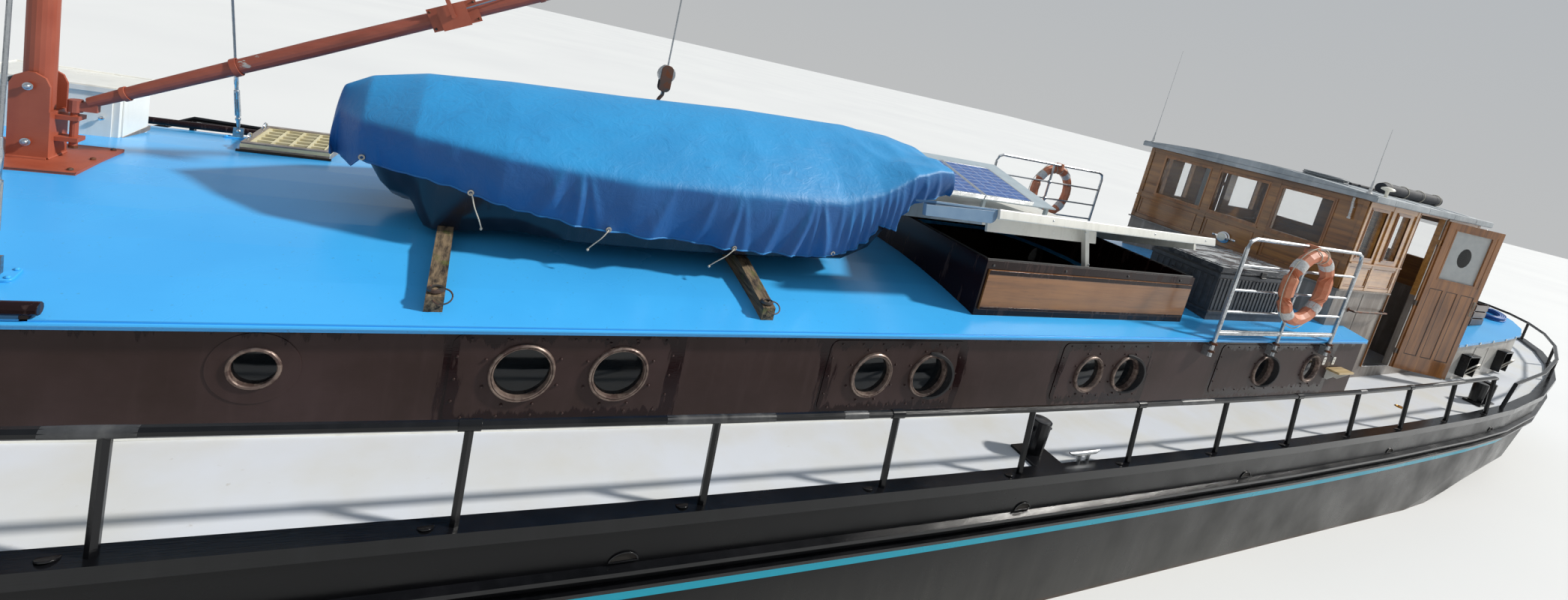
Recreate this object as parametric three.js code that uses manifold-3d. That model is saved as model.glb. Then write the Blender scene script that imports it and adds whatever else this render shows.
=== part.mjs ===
// Dutch motor barge (luxe motor type), about 24.6 m long and 4.3 m wide.
// Millimetres. +X to the bow, +Y to port, +Z up. The origin is on the waterline, on the centreline.
import * as THREE from "three";
import Module from "manifold-3d";

const wasm = await Module();
wasm.setup();
const { Manifold, CrossSection, Mesh } = wasm;

// Driving dimensions.
const HALF_BEAM = 2140; // deck edge from the centreline
const STEM_X = 12200; // stem head
const STERN_X = -12400; // aft edge of the deck
const SHEER = { low: 970, at: -2200, fore: 2.5, aft: 4.5 }; // deck edge height, mm per square metre
const DECK_CAMBER = 60;
const DRAUGHT = 1100;
const GAP = 0.3; // between pieces that rest on each other
const RAIL = { pitch: 1050, first: 5100, count: 12, height: 415, lean: 40, pipe: 21 };
const DEN = { fore: 6950, aft: -4750, half: 1470, wall: 60, edge: 1650, camber: 150, plate: 40, eave: 30 };
const HATCH = { fore: 790, aft: -1700, half: 1280, wall: 45, top: 2110 };
const HOUSE = { fore: -4330, aft: -7250, half: 1250, wall: 55, base: 2120, top: 3110, camber: 70 };
const DOOR = { fore: -5545, aft: -6245, sill: 1190, top: 3085, leaf: 40, open: 153 };
const ROEF = { fore: -7250.3, round: -8700, aft: -10400, half: 1470, wall: 55, top: 1600, camber: 110, rise: 3.9 };
const MAST = { x: 6165, z: 2186, heel: 1835, head: 9000, r: 60, base: 1812 };
const BOOM = { x: 6030, z: 2090, length: 3450, slope: 27.7, r: 48 };
const TENDER = { y: 250, half: 760, keel: 1852, rail: 2330, ridge: 2650 };

const sheer = (x) => {
  const m = (x - SHEER.at) / 1000;
  return SHEER.low + (m > 0 ? SHEER.fore : SHEER.aft) * m * m;
};
const roofZ = (y) => DEN.edge + DEN.camber * (1 - (y / (DEN.half + DEN.eave)) ** 2);
const rad = THREE.MathUtils.degToRad;

// Solids.
const box = (x0, x1, y0, y1, z0, z1) =>
  Manifold.cube([x1 - x0, y1 - y0, z1 - z0]).translate([x0, y0, z0]);
const post = (x, y, z0, z1, r, n = 16, r2 = r) =>
  Manifold.cylinder(z1 - z0, r, r2, n).translate([x, y, z0]);
const along = {
  x: (s) => s.rotate([0, 90, 0]),
  y: (s) => s.rotate([-90, 0, 0]),
};
// A bar along X or Y, centred at x, y, z.
const bar = (axis, x, y, z, length, r, n = 16) =>
  along[axis](Manifold.cylinder(length, r, r, n, true)).translate([x, y, z]);
const join = (...s) => Manifold.union(s.flat());
const mirror = (s) => s.mirror([0, 1, 0]);
// A polygon in X and Z, from y0 to y1.
const slabY = (points, y0, y1) =>
  Manifold.extrude(new CrossSection([points], "NonZero"), y1 - y0)
    .rotate([90, 0, 0])
    .translate([0, y1, 0]);
// A polygon in Y and Z, from x0 to x1.
const slabX = (points, x0, x1) =>
  Manifold.extrude(new CrossSection([points], "NonZero"), x1 - x0)
    .rotate([90, 0, 90])
    .translate([x0, 0, 0]);
// A polygon in X and Y, from z0 to z1.
const slabZ = (points, z0, z1) =>
  Manifold.extrude(new CrossSection([points], "NonZero"), z1 - z0).translate([0, 0, z0]);

// A skin over rings of equally many points; flat caps close an open row of rings.
function loft(rings, closed = false) {
  const n = rings[0].length;
  const verts = rings.flat().flatMap((p) => [p.x, p.y, p.z]);
  const tris = [];
  const last = closed ? rings.length : rings.length - 1;
  for (let i = 0; i < last; i++)
    for (let j = 0; j < n; j++) {
      const a = i * n + j, b = i * n + ((j + 1) % n);
      const c = ((i + 1) % rings.length) * n + j, d = ((i + 1) % rings.length) * n + ((j + 1) % n);
      tris.push(a, b, d, a, d, c);
    }
  if (!closed)
    [0, rings.length - 1].forEach((i) => {
      const cap = capOf(rings[i]);
      cap.forEach(([a, b, c]) => (i === 0 ? tris.push(i * n + a, i * n + c, i * n + b) : tris.push(i * n + a, i * n + b, i * n + c)));
    });
  let made = new Manifold(new Mesh({ numProp: 3, vertProperties: new Float32Array(verts), triVerts: new Uint32Array(tris) }));
  if (made.volume() < 0) {
    for (let i = 0; i < tris.length; i += 3) [tris[i + 1], tris[i + 2]] = [tris[i + 2], tris[i + 1]];
    made = new Manifold(new Mesh({ numProp: 3, vertProperties: new Float32Array(verts), triVerts: new Uint32Array(tris) }));
  }
  return made;
}
// Triangles of a flat ring, with the ring's own turning direction.
function capOf(ring) {
  const o = ring[0];
  const normal = new THREE.Vector3();
  ring.forEach((p, i) => {
    const q = ring[(i + 1) % ring.length];
    normal.add(p.clone().sub(o).cross(q.clone().sub(o)));
  });
  normal.normalize();
  const u = new THREE.Vector3(...(Math.abs(normal.x) < 0.8 ? [1, 0, 0] : [0, 1, 0])).cross(normal).normalize();
  const v = normal.clone().cross(u);
  const flat = ring.map((p) => new THREE.Vector2(p.clone().sub(o).dot(u), p.clone().sub(o).dot(v)));
  return THREE.ShapeUtils.triangulateShape(flat, []);
}
// A round bar along a row of points.
function tube(points, r, n = 8, closed = false) {
  const rings = points.map((p, i) => {
    const a = points[closed ? (i + points.length - 1) % points.length : Math.max(0, i - 1)];
    const b = points[closed ? (i + 1) % points.length : Math.min(points.length - 1, i + 1)];
    const t = b.clone().sub(a).normalize();
    const up = Math.abs(t.z) > 0.95 ? new THREE.Vector3(0, 1, 0) : new THREE.Vector3(0, 0, 1);
    const u = t.clone().cross(up).normalize();
    const v = u.clone().cross(t).normalize();
    return Array.from({ length: n }, (_, k) => {
      const w = ((k + 0.5) * 2 * Math.PI) / n;
      return p.clone().addScaledVector(u, r * Math.cos(w)).addScaledVector(v, r * Math.sin(w));
    });
  });
  return loft(rings, closed);
}
const at = (x, y, z) => new THREE.Vector3(x, y, z);
// What is left of a solid that fits against its neighbours.
const SIDES = [[GAP, 0, 0], [-GAP, 0, 0], [0, GAP, 0], [0, -GAP, 0], [0, 0, GAP], [0, 0, -GAP]];
const fitted = (s, ...near) => s.subtract(join(near.flat().flatMap((n) => SIDES.map((d) => n.translate(d)))));

// Plan of the hull at a level: tips, lengths of the rounded ends, their fullness, half breadth.
// z is a height above the waterline, or drop a depth below the deck edge.
const LEVELS = [
  { z: -DRAUGHT, stern: -9500, run: 6500, runFull: 1.25, stem: 10700, entry: 4200, entryFull: 1.9, half: 1780 },
  { z: -1030, stern: -9700, run: 6300, runFull: 1.3, stem: 11050, entry: 4500, entryFull: 1.9, half: 1960 },
  { z: -850, stern: -9800, run: 6100, runFull: 1.35, stem: 11350, entry: 4600, entryFull: 1.9, half: 2080 },
  { z: -450, stern: -9900, run: 5600, runFull: 1.4, stem: 11620, entry: 4700, entryFull: 1.95, half: 2110 },
  { z: -130, stern: -10200, run: 5400, runFull: 1.6, stem: 11760, entry: 4750, entryFull: 2, half: 2115 },
  { z: 100, stern: -11000, run: 5400, runFull: 1.85, stem: 11850, entry: 4800, entryFull: 2.05, half: 2120 },
  { z: 330, stern: -11750, run: 5600, runFull: 2.05, stem: 11930, entry: 4850, entryFull: 2.1, half: 2125 },
  { drop: 395, stern: -12120, run: 5900, runFull: 2.15, stem: 11990, entry: 4900, entryFull: 2.15, half: 2130 },
  { drop: 345, stern: -12190, run: 5950, runFull: 2.15, stem: 12020, entry: 4900, entryFull: 2.15, half: 2132 },
  { drop: 295, stern: -12240, run: 6000, runFull: 2.15, stem: 12050, entry: 4900, entryFull: 2.15, half: 2134 },
  { drop: 255, stern: -12270, run: 6050, runFull: 2.15, stem: 12070, entry: 4900, entryFull: 2.15, half: 2135 },
  { drop: 205, stern: -12300, run: 6100, runFull: 2.15, stem: 12100, entry: 4900, entryFull: 2.15, half: 2136 },
  { drop: 0, stern: STERN_X, run: 6200, runFull: 2.2, stem: STEM_X, entry: 5000, entryFull: 2.2, half: HALF_BEAM },
];
const END_TURNS = [0, 7, 15, 24, 34, 45, 57, 70, 82]; // degrees along a rounded end, from its tip
const MIDDLE = 7; // steps between the rounded ends

// Port side of a level, from the stern tip to the stem, grown outwards by out.
function portLine(level, out = 0) {
  const { stern, run, runFull, stem, entry, entryFull, half } = level;
  const zOf = (x) => (level.drop === undefined ? level.z : sheer(x) - level.drop);
  const end = (turn, full) => [Math.cos(rad(turn)) ** (2 / full), Math.sin(rad(turn)) ** (2 / full)];
  const aft = END_TURNS.map((turn) => {
    const [c, s] = end(turn, runFull);
    return [stern + run - (run + out) * c, (half + out) * s];
  });
  const fore = END_TURNS.map((turn) => {
    const [c, s] = end(turn, entryFull);
    return [stem - entry + (entry + out) * c, (half + out) * s];
  }).reverse();
  const x0 = stern + run, x1 = stem - entry;
  const middle = Array.from({ length: MIDDLE + 1 }, (_, i) => [x0 + ((x1 - x0) * i) / MIDDLE, half + out]);
  return [...aft, ...middle, ...fore].map(([x, y]) => at(x, y, zOf(x)));
}
const loopOf = (port) => [...port, ...port.slice(1, -1).reverse().map((p) => at(p.x, -p.y, p.z))];
const shifted = (line, dz) => line.map((p) => at(p.x, p.y, p.z + dz));
const EDGE = LEVELS[LEVELS.length - 1];

function hullSolid() {
  const rows = LEVELS.map((level) => portLine(level));
  const loops = rows.map(loopOf);
  const n = loops[0].length, k = rows[0].length;
  const verts = loops.flat().flatMap((p) => [p.x, p.y, p.z]);
  const tris = [];
  for (let i = 0; i + 1 < loops.length; i++)
    for (let j = 0; j < n; j++) {
      const a = i * n + j, b = i * n + ((j + 1) % n);
      tris.push(a, a + n, b + n, a, b + n, b);
    }
  const star = (j) => (n - j) % n; // the starboard twin of port point j
  for (let j = 0; j + 1 < k; j++) {
    if (j > 0) tris.push(j, j + 1, star(j));
    if (j + 2 < k) tris.push(star(j), j + 1, star(j + 1));
  }
  if (verts.length / 3 !== loops.length * n) throw new Error("hull rows differ");
  const top = (loops.length - 1) * n, ridge = verts.length / 3;
  rows[rows.length - 1].slice(1, -1).forEach((p) =>
    verts.push(p.x, 0, p.z + (DECK_CAMBER * p.y) / HALF_BEAM));
  const mid = (j) => (j === 0 ? top : j === k - 1 ? top + k - 1 : ridge + j - 1);
  for (let j = 0; j + 1 < k; j++) {
    const a = top + j, b = top + j + 1, c = mid(j), d = mid(j + 1);
    if (a !== c) tris.push(a, c, d);
    if (b !== d) tris.push(a, d, b);
    const e = top + star(j), f = top + star(j + 1);
    if (e !== c) tris.push(e, d, c);
    if (f !== d) tris.push(e, f, d);
  }
  const make = (t) => new Manifold(new Mesh({ numProp: 3, vertProperties: new Float32Array(verts), triVerts: new Uint32Array(t) }));
  const made = make(tris);
  if (made.volume() > 0) return made;
  for (let i = 0; i < tris.length; i += 3) [tris[i + 1], tris[i + 2]] = [tris[i + 2], tris[i + 1]];
  return make(tris);
}
const HULL = hullSolid();
const onDeck = (s) => s.subtract(HULL.translate([0, 0, GAP]));
const offSide = (s) =>
  [[0, GAP], [0, -GAP], [GAP, 0], [-GAP, 0]].reduce((left, [x, y]) => left.subtract(HULL.translate([x, y, 0])), s);
// Deck surface at a place, read from the solid itself.
const deckZ = (x, y) => {
  const half = portLine(EDGE).reduce((best, p, i, all) => {
    const q = all[i + 1];
    return q && p.x <= x && x <= q.x ? p.y + ((q.y - p.y) * (x - p.x)) / (q.x - p.x) : best;
  }, HALF_BEAM);
  return sheer(x) + (DECK_CAMBER * half * (1 - Math.abs(y) / half)) / HALF_BEAM;
};

// Materials: colour, roughness, metalness.
const PAINTS = {
  hullBlack: [0x1b1c1f, 0.45, 0], deckGrey: [0xd5d7d8, 0.55, 0], denBrown: [0x3b2a2b, 0.4, 0],
  roofBlue: [0x44aeee, 0.35, 0], redOxide: [0xa4513a, 0.55, 0], railBlack: [0x18191b, 0.4, 0],
  varnish: [0x7a4a22, 0.35, 0], houseGrey: [0x9fa09c, 0.6, 0], roofGrey: [0x9aa0a3, 0.6, 0],
  galvanised: [0xb4b8ba, 0.4, 0.7], lidWhite: [0xe4e4de, 0.5, 0], timber: [0x8b7a63, 0.8, 0],
  tarpBlue: [0x1e73c4, 0.75, 0], tenderBlack: [0x15171c, 0.35, 0], board: [0x7f5a36, 0.45, 0],
  cells: [0x4a55a0, 0.25, 0], buoyRed: [0xc4552f, 0.6, 0], plastic: [0x3a3d42, 0.6, 0],
  bronze: [0x9a7a3c, 0.35, 0.8], steel: [0x3a3c3e, 0.5, 0.6], white: [0xe9e9e4, 0.45, 0],
  lattice: [0xcfc7a4, 0.7, 0], flapBlue: [0x5c7896, 0.5, 0], wire: [0x8c9094, 0.4, 0.8],
};
const paintOf = Object.fromEntries(Object.entries(PAINTS).map(([name, [color, roughness, metalness]]) =>
  [name, new THREE.MeshStandardMaterial({ name, color, roughness, metalness })]));
const barge = new THREE.Group();
barge.name = "dutch_barge";

function add(name, solid, paint, group = barge) {
  const bodies = solid.decompose();
  const kept = bodies.sort((a, b) => b.volume() - a.volume())[0];
  const { vertProperties, triVerts, numProp } = kept.getMesh();
  const position = new Float32Array((vertProperties.length / numProp) * 3);
  for (let i = 0; i < position.length / 3; i++)
    position.set(vertProperties.subarray(i * numProp, i * numProp + 3), i * 3);
  const geometry = new THREE.BufferGeometry()
    .setAttribute("position", new THREE.BufferAttribute(position, 3))
    .setIndex(new THREE.BufferAttribute(new Uint32Array(triVerts), 1));
  geometry.computeVertexNormals();
  const mesh = new THREE.Mesh(geometry, paintOf[paint]);
  mesh.name = name;
  group.add(mesh);
  return kept;
}

// Hull, with the hold under the den.
const HOLD = { fore: 6750, aft: -4560, half: 1370, floor: -150 };
function hull() {
  const hold = box(HOLD.aft, HOLD.fore, -HOLD.half, HOLD.half, HOLD.floor, 3000);
  const sternTube = bar("x", SHAFT.boss + 130, 0, SHAFT.z, 260, 60);
  add("hull", join(HULL.subtract(hold), sternTube), "hullBlack");
}

// A band around the deck edge or the side, between two lines of the port side.
function band(low, high, lowOut, highOut) {
  const rings = low.map((_, i) => [low[i], lowOut[i], highOut[i], high[i]]);
  const port = rings;
  const starboard = rings.slice(1, -1).reverse().map((r) => r.map((p) => at(p.x, -p.y, p.z)));
  return loft([...port, ...starboard], true);
}
const fenders = [];
let onGunwale;
function strakes() {
  // name, level of its top, level of its foot, how far it stands out
  [["rubbing_strake_upper", 205, 255, 38], ["rubbing_strake_lower", 295, 345, 34]].forEach(([name, top, foot, out]) => {
    const levels = [foot, top].map((drop) => LEVELS.find((level) => level.drop === drop));
    const [low, high] = levels.map((level) => portLine(level, -12));
    const [lowOut, highOut] = levels.map((level, i) => shifted(portLine(level, out), i ? -14 : 14));
    fenders.push(add(name, offSide(band(low, high, lowOut, highOut)), "hullBlack"));
  });
  const inner = portLine(EDGE, -85), outer = portLine(EDGE, 12);
  const rim = band(shifted(inner, -25), shifted(inner, 40), shifted(outer, -25), shifted(outer, 40));
  const bollards = [1, -1].map((s) => {
    const [x, y] = [560, 1900], z = deckZ(x, y);
    const one = join(box(x - 120, x + 120, y - 80, HALF_BEAM - 80, z - 60, z + 22), post(x, y, z, z + 250, 60, 16, 66));
    return s > 0 ? one : mirror(one);
  });
  const made = add("gunwale", onDeck(join(offSide(rim), bollards)), "hullBlack");
  onGunwale = (s) => s.subtract(made.translate([0, 0, GAP]));
}

// Bulwark around the bow, from the den's fore end to the stem, with the forestay's lug.
const stemLug = box(STEM_X - 70, STEM_X - 10, -9, 9, sheer(STEM_X) + 440, sheer(STEM_X) + 580);
function bulwark() {
  const inner = portLine(EDGE, -55), outer = portLine(EDGE, -25);
  const from = inner.findIndex((p) => p.x > 7000);
  const height = (x) => 60 + 400 * THREE.MathUtils.smoothstep(x, 7000, 9600);
  const port = inner.slice(from).map((p, i) => {
    const q = outer[from + i], h = height(p.x);
    return [at(p.x, p.y, p.z + 40 + GAP), at(q.x, q.y, q.z + 40 + GAP), at(q.x, q.y, q.z + h), at(p.x, p.y, p.z + h)];
  });
  const starboard = port.slice(0, -1).reverse().map((r) => r.map((p) => at(p.x, -p.y, p.z)));
  const cap = inner.slice(from).map((p, i) => at((p.x + outer[from + i].x) / 2, (p.y + outer[from + i].y) / 2, p.z + height(p.x) + 14));
  const rail = [...cap, ...cap.slice(0, -1).reverse().map((p) => at(p.x, -p.y, p.z))];
  add("bulwark_bow", join(loft([...port, ...starboard]), tube(rail, 26, 6), stemLug), "hullBlack");
}

// Pipe rails along the side decks.
function sideRail(side) {
  const y0 = HALF_BEAM - 35;
  const stations = Array.from({ length: RAIL.count }, (_, i) => RAIL.first - i * RAIL.pitch);
  stations.unshift(RAIL.first + RAIL.pitch);
  const top = stations.map((x) => at(x, y0 - RAIL.lean, sheer(x) + 40 + RAIL.height));
  const aft = stations[stations.length - 1], fore = stations[0];
  const posts = stations.map((x) =>
    tube([at(x, y0, sheer(x) + 20), at(x, y0 - RAIL.lean, sheer(x) + 40 + RAIL.height)], 19, 6));
  const made = join(tube([at(fore + 420, y0 - 20, sheer(fore + 420) + 20), at(fore + 330, y0 - 40, sheer(fore) + 300), ...top,
    at(aft - 60, y0 - RAIL.lean, sheer(aft) + 30 + RAIL.height)], RAIL.pipe, 8), posts);
  add("side_rail_" + side, onGunwale(side === "port" ? made : mirror(made)), "railBlack");
}
const STERN_RAIL = { height: 280, posts: 7 };
function sternRail() {
  const line = portLine(EDGE, -60).filter((p) => p.x < -7000);
  const port = line.map((p) => at(p.x, p.y, p.z + 40 + STERN_RAIL.height));
  const start = port[port.length - 1];
  const foot = at(start.x + 220, HALF_BEAM - 62, sheer(start.x) + 15);
  const half = [...port.slice(1), foot];
  const path = [...half.slice().reverse(), port[0], ...half.map((p) => at(p.x, -p.y, p.z))];
  const posts = [1, 3, 5, 6].flatMap((i) => [1, -1].map((s) =>
    tube([at(line[i].x, s * line[i].y, line[i].z + 15), at(line[i].x, s * line[i].y, line[i].z + 40 + STERN_RAIL.height)], 17, 6)));
  posts.push(tube([at(line[0].x, 0, line[0].z + 15), at(line[0].x, 0, line[0].z + 40 + STERN_RAIL.height)], 17, 6));
  add("stern_rail", onGunwale(join(tube(path, 19, 8), posts)), "railBlack");
}

const SKYLIGHT = { aft: 5010, fore: 5500, y0: -1190, y1: -640, top: 1800 };
// Den: the long low trunk over the old hold.
const roofArc = (half, z0, rise, thick, steps = 10) => {
  const edge = Array.from({ length: steps + 1 }, (_, i) => half - (2 * half * i) / steps);
  const z = (y) => z0 + rise * (1 - (y / half) ** 2);
  return [...edge.map((y) => [y, z(y)]), ...edge.reverse().map((y) => [y, z(y) - thick])];
};
// Everything above the underside of such a roof.
const aboveArc = (half, z0, rise, thick, steps = 10) =>
  [[-half, z0 + 1500], ...roofArc(half, z0, rise, thick + GAP, steps).slice(steps + 1), [half, z0 + 1500]];
const ROOF_UNCUT = slabX(roofArc(DEN.half + DEN.eave, DEN.edge, DEN.camber, DEN.plate), DEN.aft - 10, DEN.fore + 30);
const ABOVE_ROOF = slabX(aboveArc(DEN.half + DEN.eave, DEN.edge, DEN.camber, DEN.plate), DEN.aft - 10, DEN.fore + 30);
const underRoof = (s) => s.subtract(ABOVE_ROOF);
const BELOW_ROOF = slabX([...roofArc(DEN.half + DEN.eave, DEN.edge, DEN.camber, DEN.plate).slice(0, 11),
  [-DEN.half - DEN.eave, 600], [DEN.half + DEN.eave, 600]], DEN.aft - 10 - GAP, DEN.fore + 30 + GAP);
const onRoof = (s) => s.subtract(BELOW_ROOF.translate([0, 0, GAP]));
const PORTHOLES = [4866, 3810, 3331, 1703, 1235, -392, -838, -2911, -3804]; // x of the centres
const portholeZ = (x) => sheer(x) + 335;
const PORTHOLE_R = 145;
function den() {
  const roof = ROOF_UNCUT.subtract(box(HATCH.aft + HATCH.wall - 6, HATCH.fore - HATCH.wall + 6, HATCH.wall - HATCH.half - 6, HATCH.half - HATCH.wall + 6, 1500, 1900));
  add("den_roof", roof.subtract(box(SKYLIGHT.aft + 45, SKYLIGHT.fore - 45, SKYLIGHT.y0 + 45, SKYLIGHT.y1 - 45, 1500, 1900)), "roofBlue");
  const glass = join(PORTHOLES.map((x) => bar("y", x, DEN.half - 30, portholeZ(x), 400, PORTHOLE_R, 24)));
  const ring = box(DEN.aft, DEN.fore, -DEN.half, DEN.half, 900, 1950)
    .subtract(box(DEN.aft + DEN.wall, DEN.fore - DEN.wall, -DEN.half + DEN.wall, DEN.half - DEN.wall, 800, 2000));
  add("den_walls", underRoof(onDeck(ring)).subtract(join(glass, mirror(glass))), "denBrown");
}

// Hatch in the den roof: coaming, name board left blank, a fixed starboard cover that carries the
// solar panels, and the port lid, which turns on that cover's edge at the centreline and stands on
// a prop, a little open. Along the lid, y counts from that edge to port and z from its top face.
const LID = { fore: 830, aft: -1770, z: 2160, width: 1313, thick: 36, skirt: 120, tilt: 14.4 };
const onLid = (s) => s.rotate([LID.tilt, 0, 0]).translate([0, 0, LID.z]);
function hatch() {
  const ring = box(HATCH.aft, HATCH.fore, -HATCH.half, HATCH.half, 1500, HATCH.top)
    .subtract(box(HATCH.aft + HATCH.wall, HATCH.fore - HATCH.wall, -HATCH.half + HATCH.wall, HATCH.half - HATCH.wall, 1400, 2300));
  add("hatch_coaming", onRoof(ring), "denBrown");
  add("name_board", box(HATCH.aft + 30, HATCH.fore - 30, HATCH.half + GAP, HATCH.half + 14, 1740, 2045), "board");
  const cover = slabX([[-0.6, HATCH.top + GAP], [-0.6, LID.z], [-1300, LID.z - 22], [-1300, HATCH.top + GAP]], LID.aft, LID.fore);
  add("hatch_cover", cover, "lidWhite");
  const top = box(LID.aft, LID.fore, 0, LID.width, -LID.thick, 0);
  const ends = [LID.fore - 32, LID.aft].map((x) => box(x, x + 32, 30, LID.width - 140, -LID.skirt, -10));
  const prop = slabY([[-234, 2460], [-190, 2460], [-362, 2060], [-406, 2060]], 1160, 1200);
  add("hatch_lid", join(onLid(join(top, ends)), prop), "lidWhite");
  // Two panels on a board that is propped up at starboard, so that they face the sun.
  const rack = (s) => s.rotate([-12.4, 0, 0]).translate([0, -66, 2278]);
  const panels = [box(-1022, -356, -777, 0, -1, 38), box(-348, 318, -777, 0, -1, 38)];
  const stands = [-1300, -420, 460].map((x) => join(box(x, x + 35, -1000, -965, 2100, 2474), box(x, x + 35, -130, -95, 2100, 2283)));
  const posts = join(stands).subtract(join(cover.translate([0, 0, GAP]), cover, box(-2000, 1000, -1400, 0, 2000, 2140)));
  add("solar_panels", join(rack(join(box(-1370, 620, -1030, 0, -12, 0), panels)), posts), "cells");
  add("lid_flap", onLid(box(LID.fore + GAP, 1470, LID.width - 142, LID.width - 2, -105, 36)), "flapBlue");
}

// Mast in its tabernacle, stays, boom with its hand winch and tackle.
function rig() {
  const plate = box(5917, 6430, -250, 250, 1700, MAST.base);
  const cheek = (y) => join(
    slabY([[6092, 1800], [6240, 1800], [6240, 2190], [6222, 2232], [6180, 2256], [6150, 2256], [6110, 2232], [6092, 2190]], y, y + 14));
  const back = box(6088, 6103, -84, 84, 1805, 2060);
  const bracket = join([1905, 2020].map((z) => box(6000, 6100, -40, 40, z, z + 22)));
  const pins = [2186, 1900].map((z) => bar("y", 6165, 0, z, 200, 14, 10));
  const pintle = post(6030, 0, 1880, 2060, 17, 12);
  const tabernacle = onRoof(join(plate, cheek(70), cheek(-84), back, bracket, pins, pintle));
  const column = post(MAST.x, 0, MAST.heel, MAST.head, MAST.r, 20, 42);
  const hounds = box(MAST.x - 120, MAST.x, -12, 12, MAST.head - 300, MAST.head - 240);
  const pole = join(column, hounds).subtract(join([2186, 1900].map((z) => bar("y", 6165, 0, z, 300, 14.5, 10))));
  add("tabernacle", tabernacle, "redOxide");
  add("mast", pole, "redOxide");
  const slope = rad(BOOM.slope), tip = at(BOOM.x - BOOM.length * Math.cos(slope), 0, BOOM.z + BOOM.length * Math.sin(slope));
  const along = (d, dz = 0) => at(BOOM.x - d * Math.cos(slope), 0, BOOM.z + d * Math.sin(slope) + dz);
  const rings = [[60, 28], [300, 36], [1100, BOOM.r], [3250, BOOM.r], [BOOM.length, 36]];
  const spar = join(rings.slice(1).map(([d, r], i) => {
    const [d0, r0] = rings[i];
    return Manifold.cylinder(d - d0, r0, r, 16).rotate([0, -90 + BOOM.slope, 0]).translate([along(d0).x, 0, along(d0).z]);
  }));
  const jaw = join(post(BOOM.x, 0, 2060.5, 2125, 30, 12), box(BOOM.x - 90, BOOM.x, -18, 18, 2070, 2118));
  const sheave = box(-45, 45, -22, 22, -70, 40).translate([tip.x + 20, 0, tip.z - 20]);
  add("boom", join(spar, jaw, sheave), "redOxide");
  // Hand winch on the boom's port side: base plate, drum, outer cheek on two spacers, crank.
  const seat = along(1876), face = BOOM.r + GAP;
  const winch = join(box(-140, 140, face, face + 10, -70, 70), bar("y", 0, face + 55, 0, 94, 52, 16), box(-80, 80, face + 100, face + 110, -72, 72),
    [-68, 68].map((x) => bar("y", x, face + 55, 0, 94, 9, 6)), bar("y", 0, face + 120, 0, 30, 14, 8), box(-12, 12, face + 122, face + 134, 0, 150),
    bar("y", 0, face + 160, 138, 70, 11, 8)).rotate([0, BOOM.slope, 0]).translate([seat.x, 0, seat.z]);
  add("boom_winch", fitted(winch, spar), "redOxide");
  const hook = { x: tip.x + 20, z: 2712 };
  const collar = bar("x", 0, 0, 0, 60, 52, 12).rotate([0, BOOM.slope, 0]).translate([along(3340).x, 0, along(3340).z]);
  const tackle = join(tube([at(hook.x, 0, tip.z - 60), at(hook.x, 0, hook.z + 210)], 6, 6),
    bar("y", hook.x, 0, hook.z + 150, 44, 62, 16), box(hook.x - 12, hook.x + 12, -9, 9, hook.z, hook.z + 100));
  add("boom_tackle", fitted(tackle, spar, sheave), "wire");
  const lift = join(collar, tube([at(along(3340).x, 0, along(3340).z + 40), at(BOOM.x + 8, 0, MAST.head - 303)], 6, 6));
  add("topping_lift", fitted(lift, spar, sheave, hounds), "wire");
  const ring = post(MAST.x, 0, MAST.head - 190, MAST.head - 150, 75, 16).subtract(post(MAST.x, 0, MAST.head - 300, MAST.head, 46, 16));
  const feet = [[5745, 1240], [5660, -1240]]; // shroud feet, as far apart fore and aft as the photograph shows
  const stays = [...feet, [STEM_X - 40, 0]].map(([x, y]) => {
    const foot = y ? roofZ(y) + 60 : sheer(x) + 545, d = Math.hypot(x - MAST.x, y);
    return tube([at(x, y, foot), at(MAST.x + ((x - MAST.x) * 62) / d, (y * 62) / d, MAST.head - 170)], 8, 6);
  });
  const plates = feet.map(([x, y]) => box(x - 30, x + 30, y - 8, y + 8, 1500, roofZ(y) + 80));
  add("stays", fitted(onRoof(join(ring, stays, plates)), stemLug), "wire");
}

// Fittings on the den roof forward: white locker and grated skylight, each with its lid.
function roofFittings() {
  const locker = box(6080, 6700, -1020, -620, 1600, 2050).subtract(box(6095, 6685, -1005, -635, 1830, 2100));
  add("locker", onRoof(locker), "white");
  add("locker_lid", box(6070, 6710, -1030, -610, 2050 + GAP, 2078), "white");
  const { aft, fore, y0, y1, top } = SKYLIGHT;
  const frame = box(aft, fore, y0, y1, 1600, top).subtract(box(aft + 40, fore - 40, y0 + 40, y1 - 40, 1500, 1900));
  add("skylight_frame", onRoof(frame), "houseGrey");
  const holes = [];
  for (let i = 0; i < 4; i++)
    for (let j = 0; j < 5; j++)
      holes.push(box(5058 + i * 100, 5142 + i * 100, -1138 + j * 91, -1064 + j * 91, 1700, 1900));
  add("skylight_lid", box(aft, fore, y0, y1, top + GAP, top + 24).subtract(join(holes)), "lattice");
}

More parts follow.
